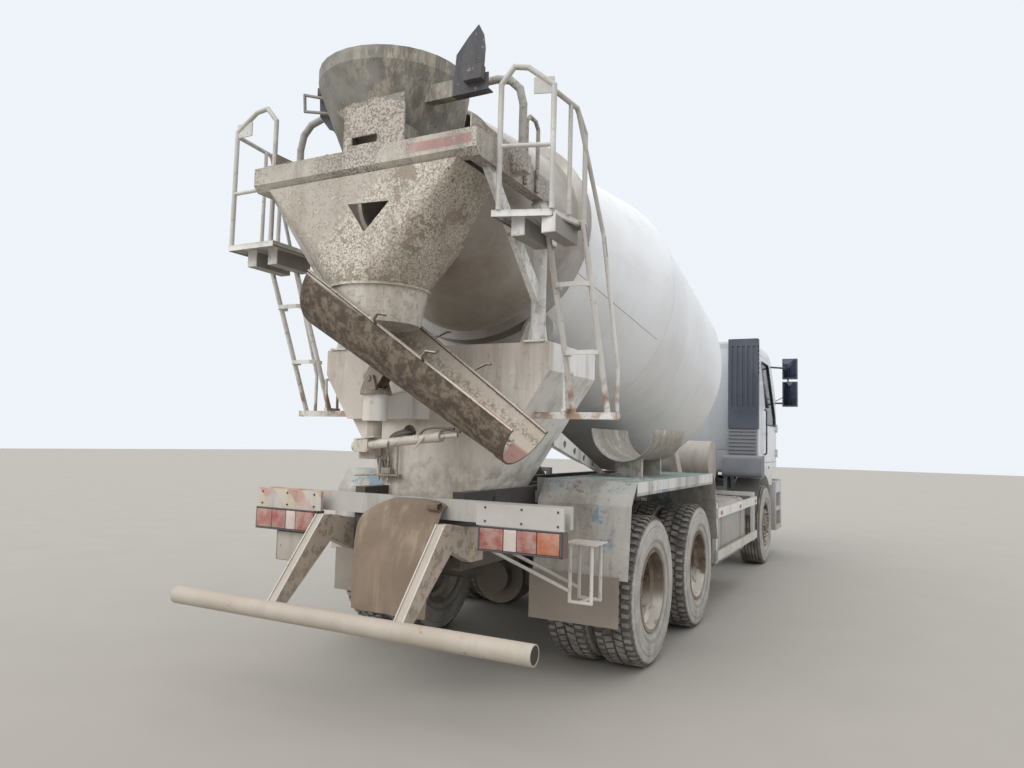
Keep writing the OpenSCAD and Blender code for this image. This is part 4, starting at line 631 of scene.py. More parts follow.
dress(chassisPaint, "frame_rails", "subframe", "rear_axles", "front_axle", "knuckle_left", "knuckle_right",
      "driveline", "engine", "battery_box")
dress(palePaint, "water_tank", "drum_drive")
dress(pedestalPaint, "rear_pedestal")
dress(barPaint, "underride_bar")
dress(ladderPaint, "ladders", "guard_rails", "rear_step")
dress(beamPaint, "hopper_frame")
dress(hopperPaint, "collector")
dress(bowlCrust, "hopper_bowl")
dress(jackPaint, "chute_swivel")
dress(chutePaint, "chute_trough")
dress(spareCrustAndShade, "spare_chute")
dress(drumPaint, "drum_shell")
dress(steel, "drum_ring", "drum_roller_left", "drum_roller_right")
dress(cabPaint, "cab_shell", "door_left", "door_right", "cab_fenders")
dress(filterPlastic, "air_filter")
dress(plastic, "air_intake", "cab_mirrors", "cab_interior", "cab_front_panel", "front_mudguards")
dress(bumperPaint, "front_bumper")
dress(mudguardPaint, "mudguards")
dress(rubber, "mudflaps")
dress(beltRubber, "rubber_apron")
dress(guardMetal, "side_guards")
dress(tankMetal, "fuel_tank")
dress(boardPaint, "tail_lamps")
dress(rimPaint, *[name for name in nodes if "rim" in name])
print("nodes dressed")

# Tyres: eight with lugs on the drive axles, two ribbed ones in front
tyre = {"radius": 0.538, "half": 0.156, "bead": 0.28605, "groove": 0.016, "pitches": 52,
        "ribs": (0.020, 0.062, 0.104)}


def tyreFinish():
    material, shader, place, facing = startFinish("tyre rubber")
    flat = place.make("VectorMath", {"operation": "MULTIPLY"}, {0: place, 1: (0, 1, 1)})
    radius = flat.make("VectorMath", {"operation": "LENGTH"}, {0: flat}, 1)
    fine = noise(place, 60, 4, 0.65)
    cloud = noise(place, 6, 6, 0.62, shift=3)
    colour = blend(rise(cloud, 0.3, 0.7), (0.32, 0.30, 0.275), (0.50, 0.475, 0.44))  # dusty wall
    band = within(radius, 0.345, 0.372, 0.006) + within(radius, 0.455, 0.466, 0.004)
    colour = blend(band * 0.45, colour, (0.17, 0.16, 0.145))
    colour = blend((1 - rise(radius, 0.290, 0.335)) * 0.6, colour, (0.15, 0.135, 0.12))
    tread = rise(radius, 0.497, 0.514)
    worn = rise(radius, 0.529, 0.536) * rise(cloud, 0.35, 0.6)
    colour = blend(tread, colour, blend(worn, (0.12, 0.11, 0.10), (0.30, 0.28, 0.255)))
    colour = blend(rise(fine + cloud * 0.4, 0.74, 0.86) * 0.5, colour, (0.36, 0.33, 0.29))
    colour.feed(shader, "Base Color")
    (0.78 + fine * 0.15).feed(shader, "Roughness")
    setBump(shader, fine * 0.4 + cloud, 0.3, 0.004)
    return material


def addTyre(shape, middle, ribbed):
    crown = tyre["radius"] - (0 if ribbed else tyre["groove"])
    wall = [(0.060, tyre["bead"]), (0.034, tyre["bead"]), (0.025, 0.303), (0.0215, 0.3065), (0.017, 0.3075),
            (0.0055, 0.352), (0.0028, 0.3535), (0.0022, 0.366), (0.001, 0.3675), (0.0, 0.398), (0.0, 0.412),
            (0.0022, 0.414), (0.0022, 0.424), (0.0005, 0.426), (0.0025, 0.452), (0.0055, 0.4545),
            (0.0060, 0.464), (0.0062, 0.480), (0.0095, 0.494), (0.017, 0.516 if ribbed else 0.511),
            (0.030, crown - 0.004), (0.040, crown)]
    side = [(tyre["half"] - x, r) for x, r in wall]
    middleRows = []
    if ribbed:
        for x in tyre["ribs"][::-1]:
            middleRows += [(x + 0.008, crown), (x + 0.005, crown - 0.013),
                           (x - 0.005, crown - 0.013), (x - 0.008, crown)]
        middleRows = middleRows + [(-x, r) for x, r in middleRows[::-1]]
    profile = side + middleRows + [(-x, r) for x, r in side[::-1]]
    shape.lathe(profile, (middle, 0, 0), (1, 0, 0), 96)
    high = tyre["radius"]
    step = 2 * math.pi / tyre["pitches"]
    shoulder = [(0.076, crown - 0.004), (0.078, high), (0.118, high - 0.001), (0.128, high - 0.006),
                (0.140, high - 0.021), (0.1475, high - 0.040), (0.149, high - 0.050), (0.143, high - 0.050),
                (0.120, crown - 0.006)]
    centre = [(0.007, crown - 0.004), (0.009, high), (0.064, high), (0.066, crown - 0.004)]
    block = [(0.128, high - 0.014), (0.130, high - 0.004), (0.141, high - 0.019), (0.1435, high - 0.030)]
    for k in range(tyre["pitches"]):
        for sign in (1, -1):
            if ribbed:
                if k % 2 == 0:
                    shape.lug([(sign * x, r) for x, r in block], middle, k * step, (k + 1.2) * step)
                continue
            start = (k + (0.5 if sign < 0 else 0)) * step
            shape.lug([(sign * x, r) for x, r in shoulder], middle, start, start + step * 0.66, 0.12 * sign)
            start = start + step * 0.35
            shape.lug([(sign * x, r) for x, r in centre], middle, start, start + step * 0.74, 0.55 * sign)


tyreRubber = tyreFinish()


def wheelPlace(side, y):
    turn = Matrix() if side > 0 else Matrix.Rotation(math.pi, 4, "Z")
    return Matrix.Translation(spot(0, y, truck["axleHeight"])) @ turn


def makeTyres():
    meshes = {}
    for axle, axleY, word in axles:
        ribbed = axle == "front"
        for hand, side in hands:
            name = "tread_" + axle + "_" + hand
            body = axle + "_" + word + "_" + hand
            at = wheelPlace(side, axleY)
            if ribbed in meshes:
                item = placed(name, meshes[ribbed], body, at)
            else:
                shape = Shape(Matrix())
                for middle in (truck["frontWheel"],) if ribbed else (truck["twinOut"], truck["twinIn"]):
                    addTyre(shape, middle, ribbed)
                item = shape.finish(name, body, tyreRubber, 32, at)
                meshes[ribbed] = item.data
            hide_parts(axle + "_tyre" + ("" if ribbed else "s") + "_" + hand)


makeTyres()
print("tyres made")

# Wheel nuts, hand holes and hub bolts
wheelParts = {
    "nuts": 10, "nutCircle": 0.1675, "nutSize": 0.0165, "studs": (0.014, 0.026),
    "hubBolts": 12, "holes": 10, "holeRadius": 0.026,
    # the nuts' face, the circle and face of the hub's bolts, and the disc's slope as rows of x and radius
    "front": {"face": 1.156, "hub": (0.078, 1.1735), "slope": ((1.156, 0.2065), (1.064, 0.240))},
    "twin": {"face": 0.9235, "hub": (0.122, 1.0625), "slope": ((0.924, 0.2065), (1.055, 0.240))},
}


def addHandHoles(holes, nuts, rows):
    # They lie on the slope of the disc, each with a raised rim
    for a in evenly(wheelParts["holes"], 0.5):
        out = Vector((0, math.cos(a), math.sin(a)))
        around = Vector((0, -math.sin(a), math.cos(a)))
        inner, outer = (Vector((x, 0, 0)) + out * r for x, r in rows)
        slope = (outer - inner).normalized()
        away = slope.cross(around).normalized()
        if away.x < 0:
            away = -away
        ring = circle((inner + outer) / 2 + away * 0.0012, wheelParts["holeRadius"], slope, around, 16)
        holes.plate(ring, 0.0008, away)
        nuts.tube(ring + [ring[0]], 0.0025, 6, closed=False)


def makeWheelParts():
    for axle, axleY, word in axles:
        wheel = wheelParts["front" if axle == "front" else "twin"]
        for hand, side in hands:
            nuts = Shape(Matrix())
            holes = Shape(Matrix())
            for a in evenly(wheelParts["nuts"]):
                y, z = wheelParts["nutCircle"] * math.cos(a), wheelParts["nutCircle"] * math.sin(a)
                nuts.bolt((wheel["face"], y, z), (1, 0, 0), wheelParts["nutSize"])
                nuts.tube([(wheel["face"] + x, y, z) for x in wheelParts["studs"]], 0.010, 8)
            radius, reach = wheel["hub"]
            for a in evenly(wheelParts["hubBolts"], 0.5):
                nuts.bolt((reach, radius * math.cos(a), radius * math.sin(a)), (1, 0, 0), 0.008)
            addHandHoles(holes, nuts, wheel["slope"])
            at = wheelPlace(side, axleY)
            body = axle + "_" + word + "_" + hand
            nuts.finish("wheel_nuts_" + axle + "_" + hand, body, rimPaint, 30, at)
            holes.finish("hand_holes_" + axle + "_" + hand, body, shadow, 30, at)


shadow = weathered("dark hollow", slot="chassis_dark", paint=(0.02, 0.018, 0.016),
    faded=(0.03, 0.026, 0.022), lowDust=0.1, topDust=0.2, rustAmount=0.0, crustAmount=0.0, roughness=0.9)
makeWheelParts()
print("wheel parts made")


# Glass and lenses
def glassFinish():
    material, shader, place, facing = startFinish("tinted glass")
    dirt = rise(noise(place, 3, 6, 0.65), 0.45, 0.75)
    blend(dirt * 0.35, (0.02, 0.026, 0.03), (0.22, 0.21, 0.19)).feed(shader, "Base Color")
    (0.04 + dirt * 0.22).feed(shader, "Roughness")
    (0.62 + dirt * 0.18).feed(shader, "Alpha")
    shader.inputs["IOR"].default_value = 1.5
    return material


def mirrorFinish():
    material, shader, place, facing = startFinish("mirror glass")
    dirt = rise(noise(place, 9, 5), 0.5, 0.8)
    blend(dirt, (0.035, 0.042, 0.065), (0.09, 0.09, 0.095)).feed(shader, "Base Color")
    (0.06 + dirt * 0.3).feed(shader, "Roughness")
    shader.inputs["Metallic"].default_value = 0.8
    return material


def lensFinish(name, colour, dust=0.45):
    material, shader, place, facing = startFinish(name)
    ribs = place.x.maths("PINGPONG", place.x, 0.004)
    dirt = rise(noise(place, 12, 6, 0.65), 0.35, 0.7) * dust + 0.12
    blend(dirt, colour, (0.42, 0.37, 0.31)).feed(shader, "Base Color")
    (0.18 + dirt * 0.6).feed(shader, "Roughness")
    shader.inputs["Coat Weight"].default_value = 0.3
    setBump(shader, ribs * 200, 0.3, 0.002)
    return material


tintedGlass = glassFinish()
mirrorGlass = mirrorFinish()
redLens = lensFinish("red lens", (0.30, 0.045, 0.045), 0.6)
fadedLens = lensFinish("faded lens", (0.36, 0.11, 0.09), 0.6)
orangeLens = lensFinish("orange lens", (0.42, 0.09, 0.02))
clearLens = lensFinish("clear lens", (0.62, 0.52, 0.48))
headLens = lensFinish("head lamp lens", (0.62, 0.66, 0.68), 0.2)
dress(tintedGlass, "cab_glass", "door_glass_left", "door_glass_right")
dress(headLens, "head_lamps")

# Tail lamps, and the blank plate in its holder
tailLamp = {
    "face": -1.550, "low": 0.965, "high": 1.088, "board": -1.540, "trimStrip": 0.008, "trimPost": 0.010,
    "trim": (0.628, 1.164), "trimLow": 0.954, "trimHigh": 1.099, "bolts": (0.66, 0.90, 1.13),
    "boltRows": (1.205, 1.125),
    "lenses": (("red", redLens, 0.640, 0.795), ("clear", clearLens, 0.799, 0.882),
               ("red_outer", redLens, 0.886, 1.010), ("orange", orangeLens, 1.014, 1.152)),
}


def makeTailLamps():
    face = tailLamp["face"]
    for hand, side in hands:
        for word, material, near, far in tailLamp["lenses"]:
            shape = Shape()
            shape.box((near, face - 0.016, tailLamp["low"]), (far, face + 0.004, tailLamp["high"]), 0.006,
                      side=side)
            faded = word == "orange" and side < 0
            shape.finish("lens_" + word + "_" + hand, "chassis", fadedLens if faded else material)
        trim = Shape()
        near, far = tailLamp["trim"]
        low, high = tailLamp["trimLow"], tailLamp["trimHigh"]
        strip, post = tailLamp["trimStrip"], tailLamp["trimPost"]
        for z in (low, high - strip):
            trim.box((near, face - 0.011, z), (far, face + 0.003, z + strip), 0.002, side=side)
        for x in (near, far - post):
            trim.box((x, face - 0.011, low), (x + post, face + 0.003, high), 0.002, side=side)
        for x in tailLamp["bolts"]:
            for z in tailLamp["boltRows"]:
                trim.bolt((side * x, tailLamp["board"], z), (0, -1, 0), 0.008)
        trim.finish("lamp_trim_" + hand, "chassis", plastic)


makeTailLamps()


# The plate is 300 by 190 mm and has no characters
numberPlate = {
    "low": (-1.005, -1.512, 0.748), "high": (-0.705, -1.507, 0.938), "bolts": (-0.97, -0.74),
    "rimY": -1.5135,
    "rim": ((-1.003, 0.750), (-0.707, 0.750), (-0.707, 0.936), (-1.003, 0.936), (-1.003, 0.748)),
}


def makePlate():
    plate = Shape()
    plate.box(numberPlate["low"], numberPlate["high"], 0.001)
    plate.tube([(x, numberPlate["rimY"], z) for x, z in numberPlate["rim"]], 0.0035, 6)
    for x in numberPlate["bolts"]:
        plate.bolt((x, -1.512, 0.843), (0, -1, 0), 0.006)
    plate.finish("blank_plate", "chassis", plateWhite)
    holder = Shape()
    holder.box((-1.012, -1.507, 0.742), (-0.698, -1.500, 0.944), 0.003)
    for x in (-0.95, -0.78):
        holder.box((x, -1.501, 0.90), (x + 0.03, -1.493, 0.99), 0.002)
    holder.finish("plate_holder", "chassis", plastic)


plateWhite = weathered("dusty plate", slot="lamp_plastic", paint=(0.48, 0.46, 0.42),
    faded=(0.40, 0.37, 0.33), runs=0.5, rustAmount=0.0, crustFrom=0.64, lowDust=0.6, roughness=0.5)
makePlate()
print("lamps made")

# The bar's open ends, and strips along the edges of its arms
bar = {"y": -2.090, "z": 0.570, "half": 1.260, "outer": 0.054, "inner": 0.047, "arms": (0.425, 0.483),
       "armEdge": ((-1.704, 1.100), (-2.104, 0.600))}


def makeBarEnds():
    rims = Shape()
    holes = Shape()
    for hand, side in hands:
        x = side * bar["half"]
        rims.lathe([(0, bar["outer"]), (side * 0.004, bar["outer"] - 0.0008), (side * 0.004, bar["inner"]),
                    (0, bar["inner"])], (x, bar["y"], bar["z"]), (1, 0, 0), 40)
        middle = Vector((x + side * 0.0006, bar["y"], bar["z"]))
        ring = circle(middle, bar["inner"], Vector((0, 1, 0)), Vector((0, 0, 1)), 32)
        holes.plate(ring, 0.0004, (side, 0, 0))
    rims.finish("bar_rims", "chassis", barPaint)
    holes.finish("bar_mouths", "chassis", shadow)
    edges = Shape()
    top, foot = bar["armEdge"]
    for hand, side in hands:
        for x in bar["arms"]:
            low, high = sorted((side * x, side * (x + 0.007)))
            edges.plate([(low, *top), (high, *top), (high, *foot), (low, *foot)], 0.006, (0, -0.78, 0.62))
    edges.finish("arm_edges", "chassis", ladderPaint)


makeBarEnds()

# The hanging belt, a thick sheet that bends over the cross beam and rolls up at its right-hand top
belt = {
    "low": -0.250, "high": 0.330, "thick": 0.009, "cells": 28,
    "waves": ((0.010, 5.3, 0.6), (0.006, 12, 2.0), (0.003, 27, 0)),
    "line": ((-1.438, 1.222), (-1.490, 1.205), (-1.548, 1.110), (-1.603, 0.985), (-1.640, 0.860),
             (-1.653, 0.730), (-1.657, 0.530)),
    # near end, middle and length of the roll, its first radius and how much tighter it gets at each step
    "roll": (0.250, -1.520, 1.178), "rollLong": 0.077, "rollRadius": 0.034, "rollTighter": 0.0009,
    "rollSteps": 25, "rollTurn": 2.3 * math.pi,
}


def clipped(value):
    return max(0.0, min(1.0, value))


def makeBelt():
    rows = []
    for p in rounded([Vector((0, y, z)) for y, z in belt["line"]], 0.06, 3):
        low = clipped((1.15 - p.z) / 0.6)
        corner = clipped((p.z - 1.02) / 0.20)
        left = belt["low"] - 0.018 + 0.13 * corner ** 2.5 + 0.05 * low
        row = []
        for k in range(belt["cells"] + 1):
            t = k / belt["cells"]
            x = left + (belt["high"] + 0.012 - left) * t
            wave = sum(size * math.sin(pace * t + start) for size, pace, start in belt["waves"])
            edge = 0.012 * (abs(2 * t - 1) ** 6) * low
            drop = 0.035 * corner * abs(2 * t - 1) ** 4
            row.append((x - 0.010 * low + 0.006 * math.sin(9 * p.z), p.y + wave * low + edge, p.z - drop))
        rows.append(row)
    shape = Shape()
    shape.sheet(rows, belt["thick"])
    x, y, z = belt["roll"]
    roll = []
    for k in range(belt["rollSteps"] + 1):
        a = belt["rollTurn"] * k / belt["rollSteps"]
        r = belt["rollRadius"] - belt["rollTighter"] * k
        roll.append((y + r * math.cos(a), z + r * math.sin(a)))
    for pair in zip(roll, roll[1:]):
        shape.sheet([[(x, *at), (x + belt["rollLong"], *at)] for at in pair], 0.006)
    item = shape.finish("hanging_belt", "chassis", beltRubber, 50)
    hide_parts("rubber_apron")


makeBelt()
print("belt made")

# Cab: seats, mirror glasses, wipers, handles, gaskets, roof markers
seat = {
    "x": 0.700, "back": 5.130, "floor": 1.295,
    # half width, nearer and further y, lower and higher z, crown, and the places of the sewn channels
    "pads": ((0.235, 0.36, 0.825, 0.335, 0.445, 0.02, (-0.45, 0.45)),
             (0.225, 0.235, 0.335, 0.42, 0.97, 0.0, ()), (0.15, 0.185, 0.265, 0.97, 1.12, 0.0, ())),
    "frames": ((0.150, 0.380, 0.740, 0.001, 0.30, 0.02), (0.225, 0.330, 0.800, 0.295, 0.336, 0.012)),
    "posts": 0.19,
}


def addCushion(shape, low, high, crown, channels):
    # Crowned pad: the top swells, the sides pull in between the corners, sewn channels run lengthways
    middle = (Vector(low) + Vector(high)) / 2
    half = (Vector(high) - Vector(low)) / 2
    made = bmesh.ops.create_cube(shape.mesh, size=2.0)
    edges = list({e for v in made["verts"] for e in v.link_edges})
    bmesh.ops.subdivide_edges(shape.mesh, edges=edges, cuts=14, use_grid_fill=True)
    verts = list({v for f in shape.mesh.faces for v in f.verts if not v.tag})
    for v in verts:
        u, w, h = v.co
        bulge = (1 - u * u) * (1 - w * w)
        soft = 1 - 0.10 * (abs(u * w) ** 3 + abs(u * h) ** 3 + abs(w * h) ** 3)
        pinch = 1 - 0.035 * (1 - h * h)
        groove = sum(math.exp(-((u - c) / 0.05) ** 2) for c in channels) * 0.012 * (1 if h > 0.5 else 0)
        local = Vector((u * half.x * soft * pinch, w * half.y * soft * pinch,
                        h * half.z * soft + (crown * bulge - groove if h > 0 else 0)))
        v.co = shape.place @ (middle + local)
        v.tag = True


def makeSeats():
    for hand, side in hands:
        place = Matrix.Translation(spot(side * seat["x"], seat["back"], seat["floor"]))
        shape = Shape(place)
        for wide, near, far, low, high, crown, channels in seat["pads"]:
            addCushion(shape, (-wide, near, low), (wide, far, high), crown, channels)
        pads = shape.finish("seat_pads_" + hand, "cab", seatCloth, 60)
        base = Shape(place)
        for wide, near, far, low, high, bevel in seat["frames"]:
            base.box((-wide, near, low), (wide, far, high), bevel)
        for x in (-seat["posts"], seat["posts"]):
            base.tube([(x, 0.255, 0.33), (x, 0.225, 0.95)], 0.014)
        item = base.finish("seat_frame_" + hand, "cab", plastic)
        if side > 0:
            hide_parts("cab_seats")


seatCloth = weathered("seat cloth", slot="interior_fabric", paint=(0.05, 0.052, 0.058),
    faded=(0.075, 0.075, 0.08), runs=0.0, lowDust=0.1, topDust=0.15, rustAmount=0.0, crustAmount=0.0,
    roughness=0.9, bump=0.35)
makeSeats()


cabTrim = {
    "mirrorSides": (1.232, 1.428), "mirrors": ((2.262, 2.628), (2.692, 2.988)), "mirrorFace": 6.849,
    "wipers": (-0.62, 0.05, 0.66), "roofLamps": 0.82, "doorX": 1.146, "doorBend": 2.05, "doorLean": 0.0857,
    "pane": ((5.740, 1.930), (6.600, 1.930), (6.592, 2.075), (6.352, 2.842), (5.740, 2.842)),
}


def makeCabTrim():
    glass = Shape()
    dark = Shape()
    y = cabTrim["mirrorFace"]
    for hand, side in hands:
        x0, x1 = sorted(side * x for x in cabTrim["mirrorSides"])
        for low, high in cabTrim["mirrors"]:
            glass.box((x0, y - 0.0025, low), (x1, y + 0.003, high), 0.002)
            line = ((x0, low), (x1, low), (x1, high), (x0, high), (x0, low))
            dark.tube([(x, y, z) for x, z in line], 0.007, 6, 0.02)
        # Gasket round the door's window, which leans inwards above the bend
        lean = cabTrim["doorLean"]
        line = [(side * (cabTrim["doorX"] - max(0.0, z - cabTrim["doorBend"]) * lean), paneY, z)
                for paneY, z in cabTrim["pane"]]
        shape = Shape()
        shape.tube(line + [line[0]], 0.011, 8, 0.05)
        shape.finish("window_gasket_" + hand, "door_" + hand, plastic)
    glass.finish("mirror_glasses", "cab", mirrorGlass)
    for x in cabTrim["wipers"]:
        dark.tube([(x, 6.975, 2.060), (x + 0.05, 6.982, 2.10), (x + 0.30, 6.945, 2.36)], 0.008, 6)
        dark.tube([(x + 0.02, 6.978, 2.11), (x + 0.56, 6.935, 2.40)], 0.006, 6)
    # Grab handles behind the doors
    for hand, side in hands:
        line = ((1.147, 1.50), (1.180, 1.52), (1.180, 2.12), (1.147, 2.14))
        dark.tube([(side * x, 5.560, z) for x, z in line], 0.011, 8, 0.03)
    # Front edge of the roof: a sun visor strip and lamps
    dark.box((-0.86, 6.66, 2.975), (0.86, 6.72, 2.992), 0.004)
    dark.finish("cab_fittings", "cab", plastic)
    lamps = Shape()
    for x in (-cabTrim["roofLamps"], cabTrim["roofLamps"]):
        lamps.box((x - 0.045, 6.560, 3.028), (x + 0.045, 6.610, 3.055), 0.008)
    for hand, side in hands:
        lamps.box((1.142, 5.95, 1.30), (1.154, 6.03, 1.335), 0.003, side=side)
    lamps.finish("cab_markers", "cab", orangeLens)


makeCabTrim()

# White service panels on the cab's rear wall, with hinges beside the intake and a grab rail
rearWall = {"skin": 5.1315, "panels": ((0.50, 5.124, 1.56, 0.752, 2.96), (-1.05, 5.125, 1.40, 0.46, 1.98)),
            "hinges": (1.72, 2.22, 2.72),
            "rail": ((-0.95, 5.131), (-0.95, 5.098), (-0.15, 5.098), (-0.15, 5.131))}


def makeRearWall():
    panel = Shape()
    for x0, y, z0, x1, z1 in rearWall["panels"]:
        panel.box((x0, y, z0), (x1, rearWall["skin"], z1), 0.003)
    for z in rearWall["hinges"]:
        panel.box((0.724, 5.116, z), (0.744, 5.126, z + 0.10), 0.002)
        panel.tube([(0.748, 5.118, z), (0.748, 5.118, z + 0.10)], 0.007, 8)
    panel.tube([(x, y, 2.90) for x, y in rearWall["rail"]], 0.010, 8, 0.02)
    panel.finish("rear_wall_panels", "cab", cabPaint)


makeRearWall()
print("cab fitted")

# Side markers, and the tank's cap and straps
sideParts = {"markers": (2.30, 3.30, 4.30), "straps": (2.57, 3.63)}


def makeSideParts():
    lamps = Shape()
    for hand, side in hands:
        for y in sideParts["markers"]:
            lamps.box((1.229, y, 0.915), (1.236, y + 0.09, 0.955), 0.003, side=side)
    lamps.finish("side_markers", "chassis", orangeLens)
    straps = Shape()
    for y in sideParts["straps"]:
        for x in (0.62, 1.14):
            straps.bolt((x, y, 1.016), (0, 0, 1), 0.010)
    straps.tube([(0.880, 3.48, 1.045), (0.880, 3.48, 1.060)], 0.046, 20)
    straps.tube([(0.856, 3.48, 1.064), (0.904, 3.48, 1.064)], 0.008, 8)
    straps.finish("tank_fittings", "chassis", plastic)


makeSideParts()

# Upright rods and the lever plate at the left of the pedestal, and the hoses that come down to it
controls = {"y": -1.175, "rods": ((-0.405, 1.300, 1.520), (-0.255, 1.330, 1.560), (-0.330, 1.290, 1.470)),
            "hoses": ((-0.206, 1.652), (-0.172, 1.640), (-0.190, 1.618)), "hoseRadius": 0.011}


def makeControls():
    rods = Shape()
    y = controls["y"]
    for x, low, high in controls["rods"]:
        rods.tube([(x, y, low), (x, y, high)], 0.009, 8)
    rods.box((-0.445, -1.190, 1.335), (-0.225, -1.160, 1.349), 0.002)
    rods.box((-0.380, -1.195, 1.349), (-0.300, -1.155, 1.392), 0.004)
    rods.tube([(-0.405, y, 1.515), (-0.405, y - 0.040, 1.535), (-0.300, y - 0.040, 1.548)], 0.008, 8, 0.01)
    rods.tube([(-0.44, y, 1.342), (-0.62, y, 1.330)], 0.008, 8)
    for x in (-0.43, -0.24):
        rods.bolt((x, -1.190, 1.342), (0, -1, 0), 0.008)
    rods.finish("control_rods", "chassis", jackPaint)
    hoses = Shape()
    for k, (x, z) in enumerate(controls["hoses"]):
        hoses.tube([(x, -1.10, z), (x, -1.16, z + 0.004), (x - 0.10 - 0.03 * k, -1.19, z - 0.03),
                    (-0.36 - 0.03 * k, -1.18, 1.46), (-0.345 - 0.03 * k, -1.17, 1.385)],
                   controls["hoseRadius"], 10, 0.06)
    hoses.finish("hydraulic_hoses", "chassis", rubber)


makeControls()
print("controls made")

leafPaint = weathered("dark leaf", slot="hopper_steel", paint=(0.05, 0.055, 0.07),
    faded=(0.08, 0.085, 0.10), runs=0.3, topDust=0.4, rustAmount=0.3, crustFrom=0.66,
    crust=(0.30, 0.28, 0.25), roughness=0.6)


# Splash plates beside the beam, caps on the frame's tubes, the handle's lower bar, and the folded leaf
hopperParts = {
    "splashX": 0.732, "capsX": (0.895, 1.085), "leafY": -1.790,
    "splash": ((-1.965, 3.156), (-1.020, 3.156), (-1.020, 3.360), (-1.280, 3.420), (-1.965, 3.420)),
    "handle": ((-0.640, -1.820, 3.745), (-0.530, -1.820, 3.7175), (-0.430, -1.815, 3.6925)),
    "leaf": ((-0.545, 3.835), (-0.430, 3.800), (-0.345, 3.500), (-0.415, 3.585), (-0.450, 3.600),
             (-0.535, 3.700)),
}


def makeHopperParts():
    plates = Shape()
    caps = Shape()
    for hand, side in hands:
        corners = [(side * hopperParts["splashX"], y, z) for y, z in hopperParts["splash"]]
        plates.plate(corners, 0.007, (side, 0, 0))
        for x in hopperParts["capsX"]:
            caps.box((x + 0.003, -1.7525, 2.760), (x + 0.082, -1.7480, 2.844), 0.0015, side=side)
    plates.finish("splash_plates", "chassis", hopperPaint)
    caps.finish("tube_caps", "chassis", ladderPaint)
    bowl = Shape()
    bowl.tube(hopperParts["handle"], 0.010, 10)
    bowl.finish("handle_bar", "chassis", bowlCrust)
    leaf = Shape()
    leaf.plate([(x, hopperParts["leafY"], z) for x, z in hopperParts["leaf"]], 0.006, (0, 1, 0))
    leaf.box((-0.560, -1.800, 3.845), (-0.455, -1.760, 3.900), 0.004)
    leaf.finish("folded_leaf", "chassis", leafPaint)


makeHopperParts()

# Lifting ram below the chute; it rides with the swivel and reaches to just under the trough
ram = {
    "y": -1.868, "line": ((-0.066, 1.543), (0.540, 1.6115)), "rod": (0.655, 1.6245), "radius": 0.027,
    "bleed": ((0.405, -0.040, 1.552), (0.425, -0.036, 1.580), (0.448, -0.030, 1.607), (0.452, 0, 1.615)),
    # radius, bend and points of the two oil lines
    "lines": ((0.009, 0.03, ((0.38, 0.02, 1.617), (0.40, 0.04, 1.655),
                             (0.48, 0.05, 1.668), (0.60, 0.05, 1.660))),
              (0.008, 0.02, ((0.50, 0.02, 1.625), (0.52, 0.05, 1.650),
                             (0.56, 0.06, 1.655), (0.64, 0.05, 1.642)))),
}


def makeRam():
    shape = Shape(Matrix.Translation(spot(0, ram["y"], 0)))
    (x0, z0), (x1, z1) = ram["line"]
    shape.tube([(x0, 0, z0), (x1, 0, z1)], ram["radius"], 20)
    shape.tube([(x0 - 0.004, 0, z0 - 0.0005), (x0 + 0.020, 0, z0 + 0.002)], 0.0295, 20)
    shape.tube([(x1 - 0.030, 0, z1 - 0.0035), (x1 + 0.006, 0, z1 + 0.001)], 0.030, 20)
    shape.tube([(x1, 0, z1), (ram["rod"][0], 0, ram["rod"][1])], 0.014, 14)
    # Clamp to the ears, with a plate on top and a short bleed handle
    shape.box((-0.050, -0.034, 1.512), (0.052, 0.037, 1.592), 0.004)
    tilt = Matrix.Rotation(math.radians(-7), 4, "Y")
    shape.box((-0.030, -0.040, 1.592), (0.105, 0.040, 1.600), 0.002, tilt)
    shape.tube(ram["bleed"], 0.007, 8, 0.01)
    shape.finish("lift_ram", "chute_swivel", ramPaint)
    lines = Shape(Matrix.Translation(spot(0, ram["y"], 0)))
    for radius, bend, line in ram["lines"]:
        lines.tube(line, radius, 8, bend)
    lines.finish("ram_lines", "chute_swivel", rubber)


ramPaint = weathered("ram paint", slot="swivel_steel", paint=(0.56, 0.52, 0.455), faded=(0.42, 0.37, 0.31),
    runs=0.3, rust=(0.16, 0.10, 0.065), rustFrom=0.58, rustScale=14, crustFrom=0.58, crustScale=24,
    bump=0.4)
makeRam()
print("ram made")

# Clods of set concrete where it has splashed, lying on what carries them
clods = {
    "seed": 7,
    # how many, smallest and largest size, and their proportions on the beam, the bowl's foot and the deck
    "beam": (60, 0.004, 0.013, (1.5, 1.2, 0.6)),
    "bowlFoot": (26, 0.003, 0.009, (1.4, 0.5, 1.2)),
    "deck": (22, 0.004, 0.012, (1.5, 1.4, 0.6)),
}


def clodPlace(part, dice, size):
    if part == "beam":
        return (dice.uniform(-0.80, 0.80), dice.uniform(-2.045, -1.975), 3.300 + size * 0.2)
    if part == "bowlFoot":
        return (dice.uniform(-0.09, 0.33), -2.050 - size * 0.1, dice.uniform(3.38, 3.58))
    return (dice.uniform(0.62, 1.20), dice.uniform(-0.4, 0.1), 1.340 + size * 0.2)


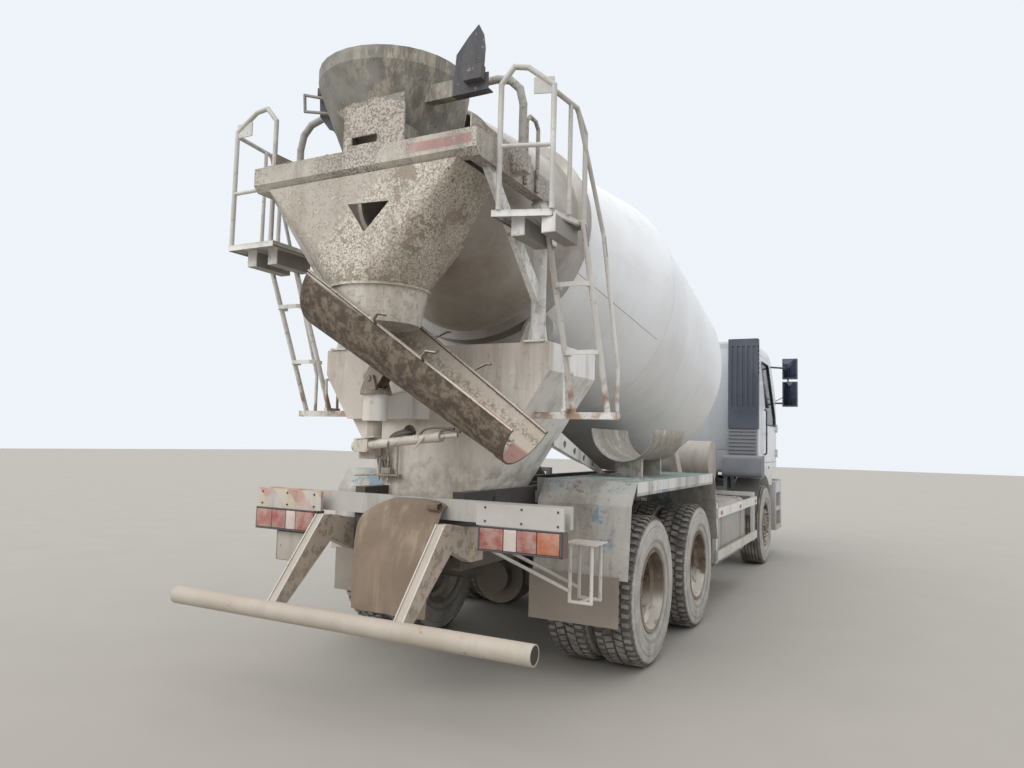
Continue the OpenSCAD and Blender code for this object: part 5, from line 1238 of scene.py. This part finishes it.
def makeClods():
    dice = random.Random(clods["seed"])
    shape = Shape()
    for first, part in ((0, "beam"), (100, "bowlFoot"), (200, "deck")):
        count, smallest, largest, form = clods[part]
        for k in range(count):
            size = dice.uniform(smallest, largest)
            shape.lump(clodPlace(part, dice, size), tuple(size * f for f in form), first + k)
    shape.finish("concrete_clods", "chassis", hopperPaint, 60)


makeClods()
print("clods made")

# Light: a pale sky all round and brighter overhead, with a broad soft sun behind the truck's left corner
studio = {
    "sky": (0.95, 0.97, 1.0), "skySeen": (0.86, 0.90, 0.95), "skyStrength": 0.82,
    "floor": (0.38, 0.355, 0.32),
    # name, strength, width in degrees, turn, colour
    "suns": (("sun", 1.5, 50, (51, 0, -18), (1.0, 0.985, 0.95)),
             ("overhead", 1.0, 140, (0, 0, 0), (0.97, 0.985, 1.0))),
}


def makeStudio():
    bpy.context.scene.view_settings.view_transform = "Standard"
    world = bpy.data.worlds.new("sky")
    bpy.context.scene.world = world
    world.use_nodes = True
    tree = world.node_tree
    shader = tree.nodes["Background"]
    path = tree.nodes.new("ShaderNodeLightPath")
    seen = Wire(tree, path.outputs["Is Camera Ray"])
    seen = seen.maths("MAXIMUM", seen, Wire(tree, path.outputs["Is Glossy Ray"]))
    seen = seen.maths("MAXIMUM", seen, Wire(tree, path.outputs["Is Transmission Ray"]))
    blend(seen, studio["sky"], studio["skySeen"]).feed(shader, "Color")
    (seen * (1 - studio["skyStrength"]) + studio["skyStrength"]).feed(shader, "Strength")
    for name, strength, angle, turn, tint in studio["suns"]:
        sun = bpy.data.lights.new(name, "SUN")
        sun.energy = strength
        sun.angle = math.radians(angle)
        sun.color = tint
        item = bpy.data.objects.new(name, sun)
        item.rotation_euler = [math.radians(a) for a in turn]
        bpy.context.scene.collection.objects.link(item)
    shape = bmesh.new()
    bmesh.ops.create_grid(shape, x_segments=1, y_segments=1, size=60)
    data = bpy.data.meshes.new("floor")
    shape.to_mesh(data)
    shape.free()
    material, shader, place, facing = startFinish("floor")
    darker = tuple(c * 0.9 for c in studio["floor"])
    blend(noise(place, 1.5, 6), studio["floor"], darker).feed(shader, "Base Color")
    shader.inputs["Roughness"].default_value = 0.9
    data.materials.append(material)
    floor = bpy.data.objects.new("floor", data)
    bpy.context.scene.collection.objects.link(floor)


makeStudio()
print("studio lit")
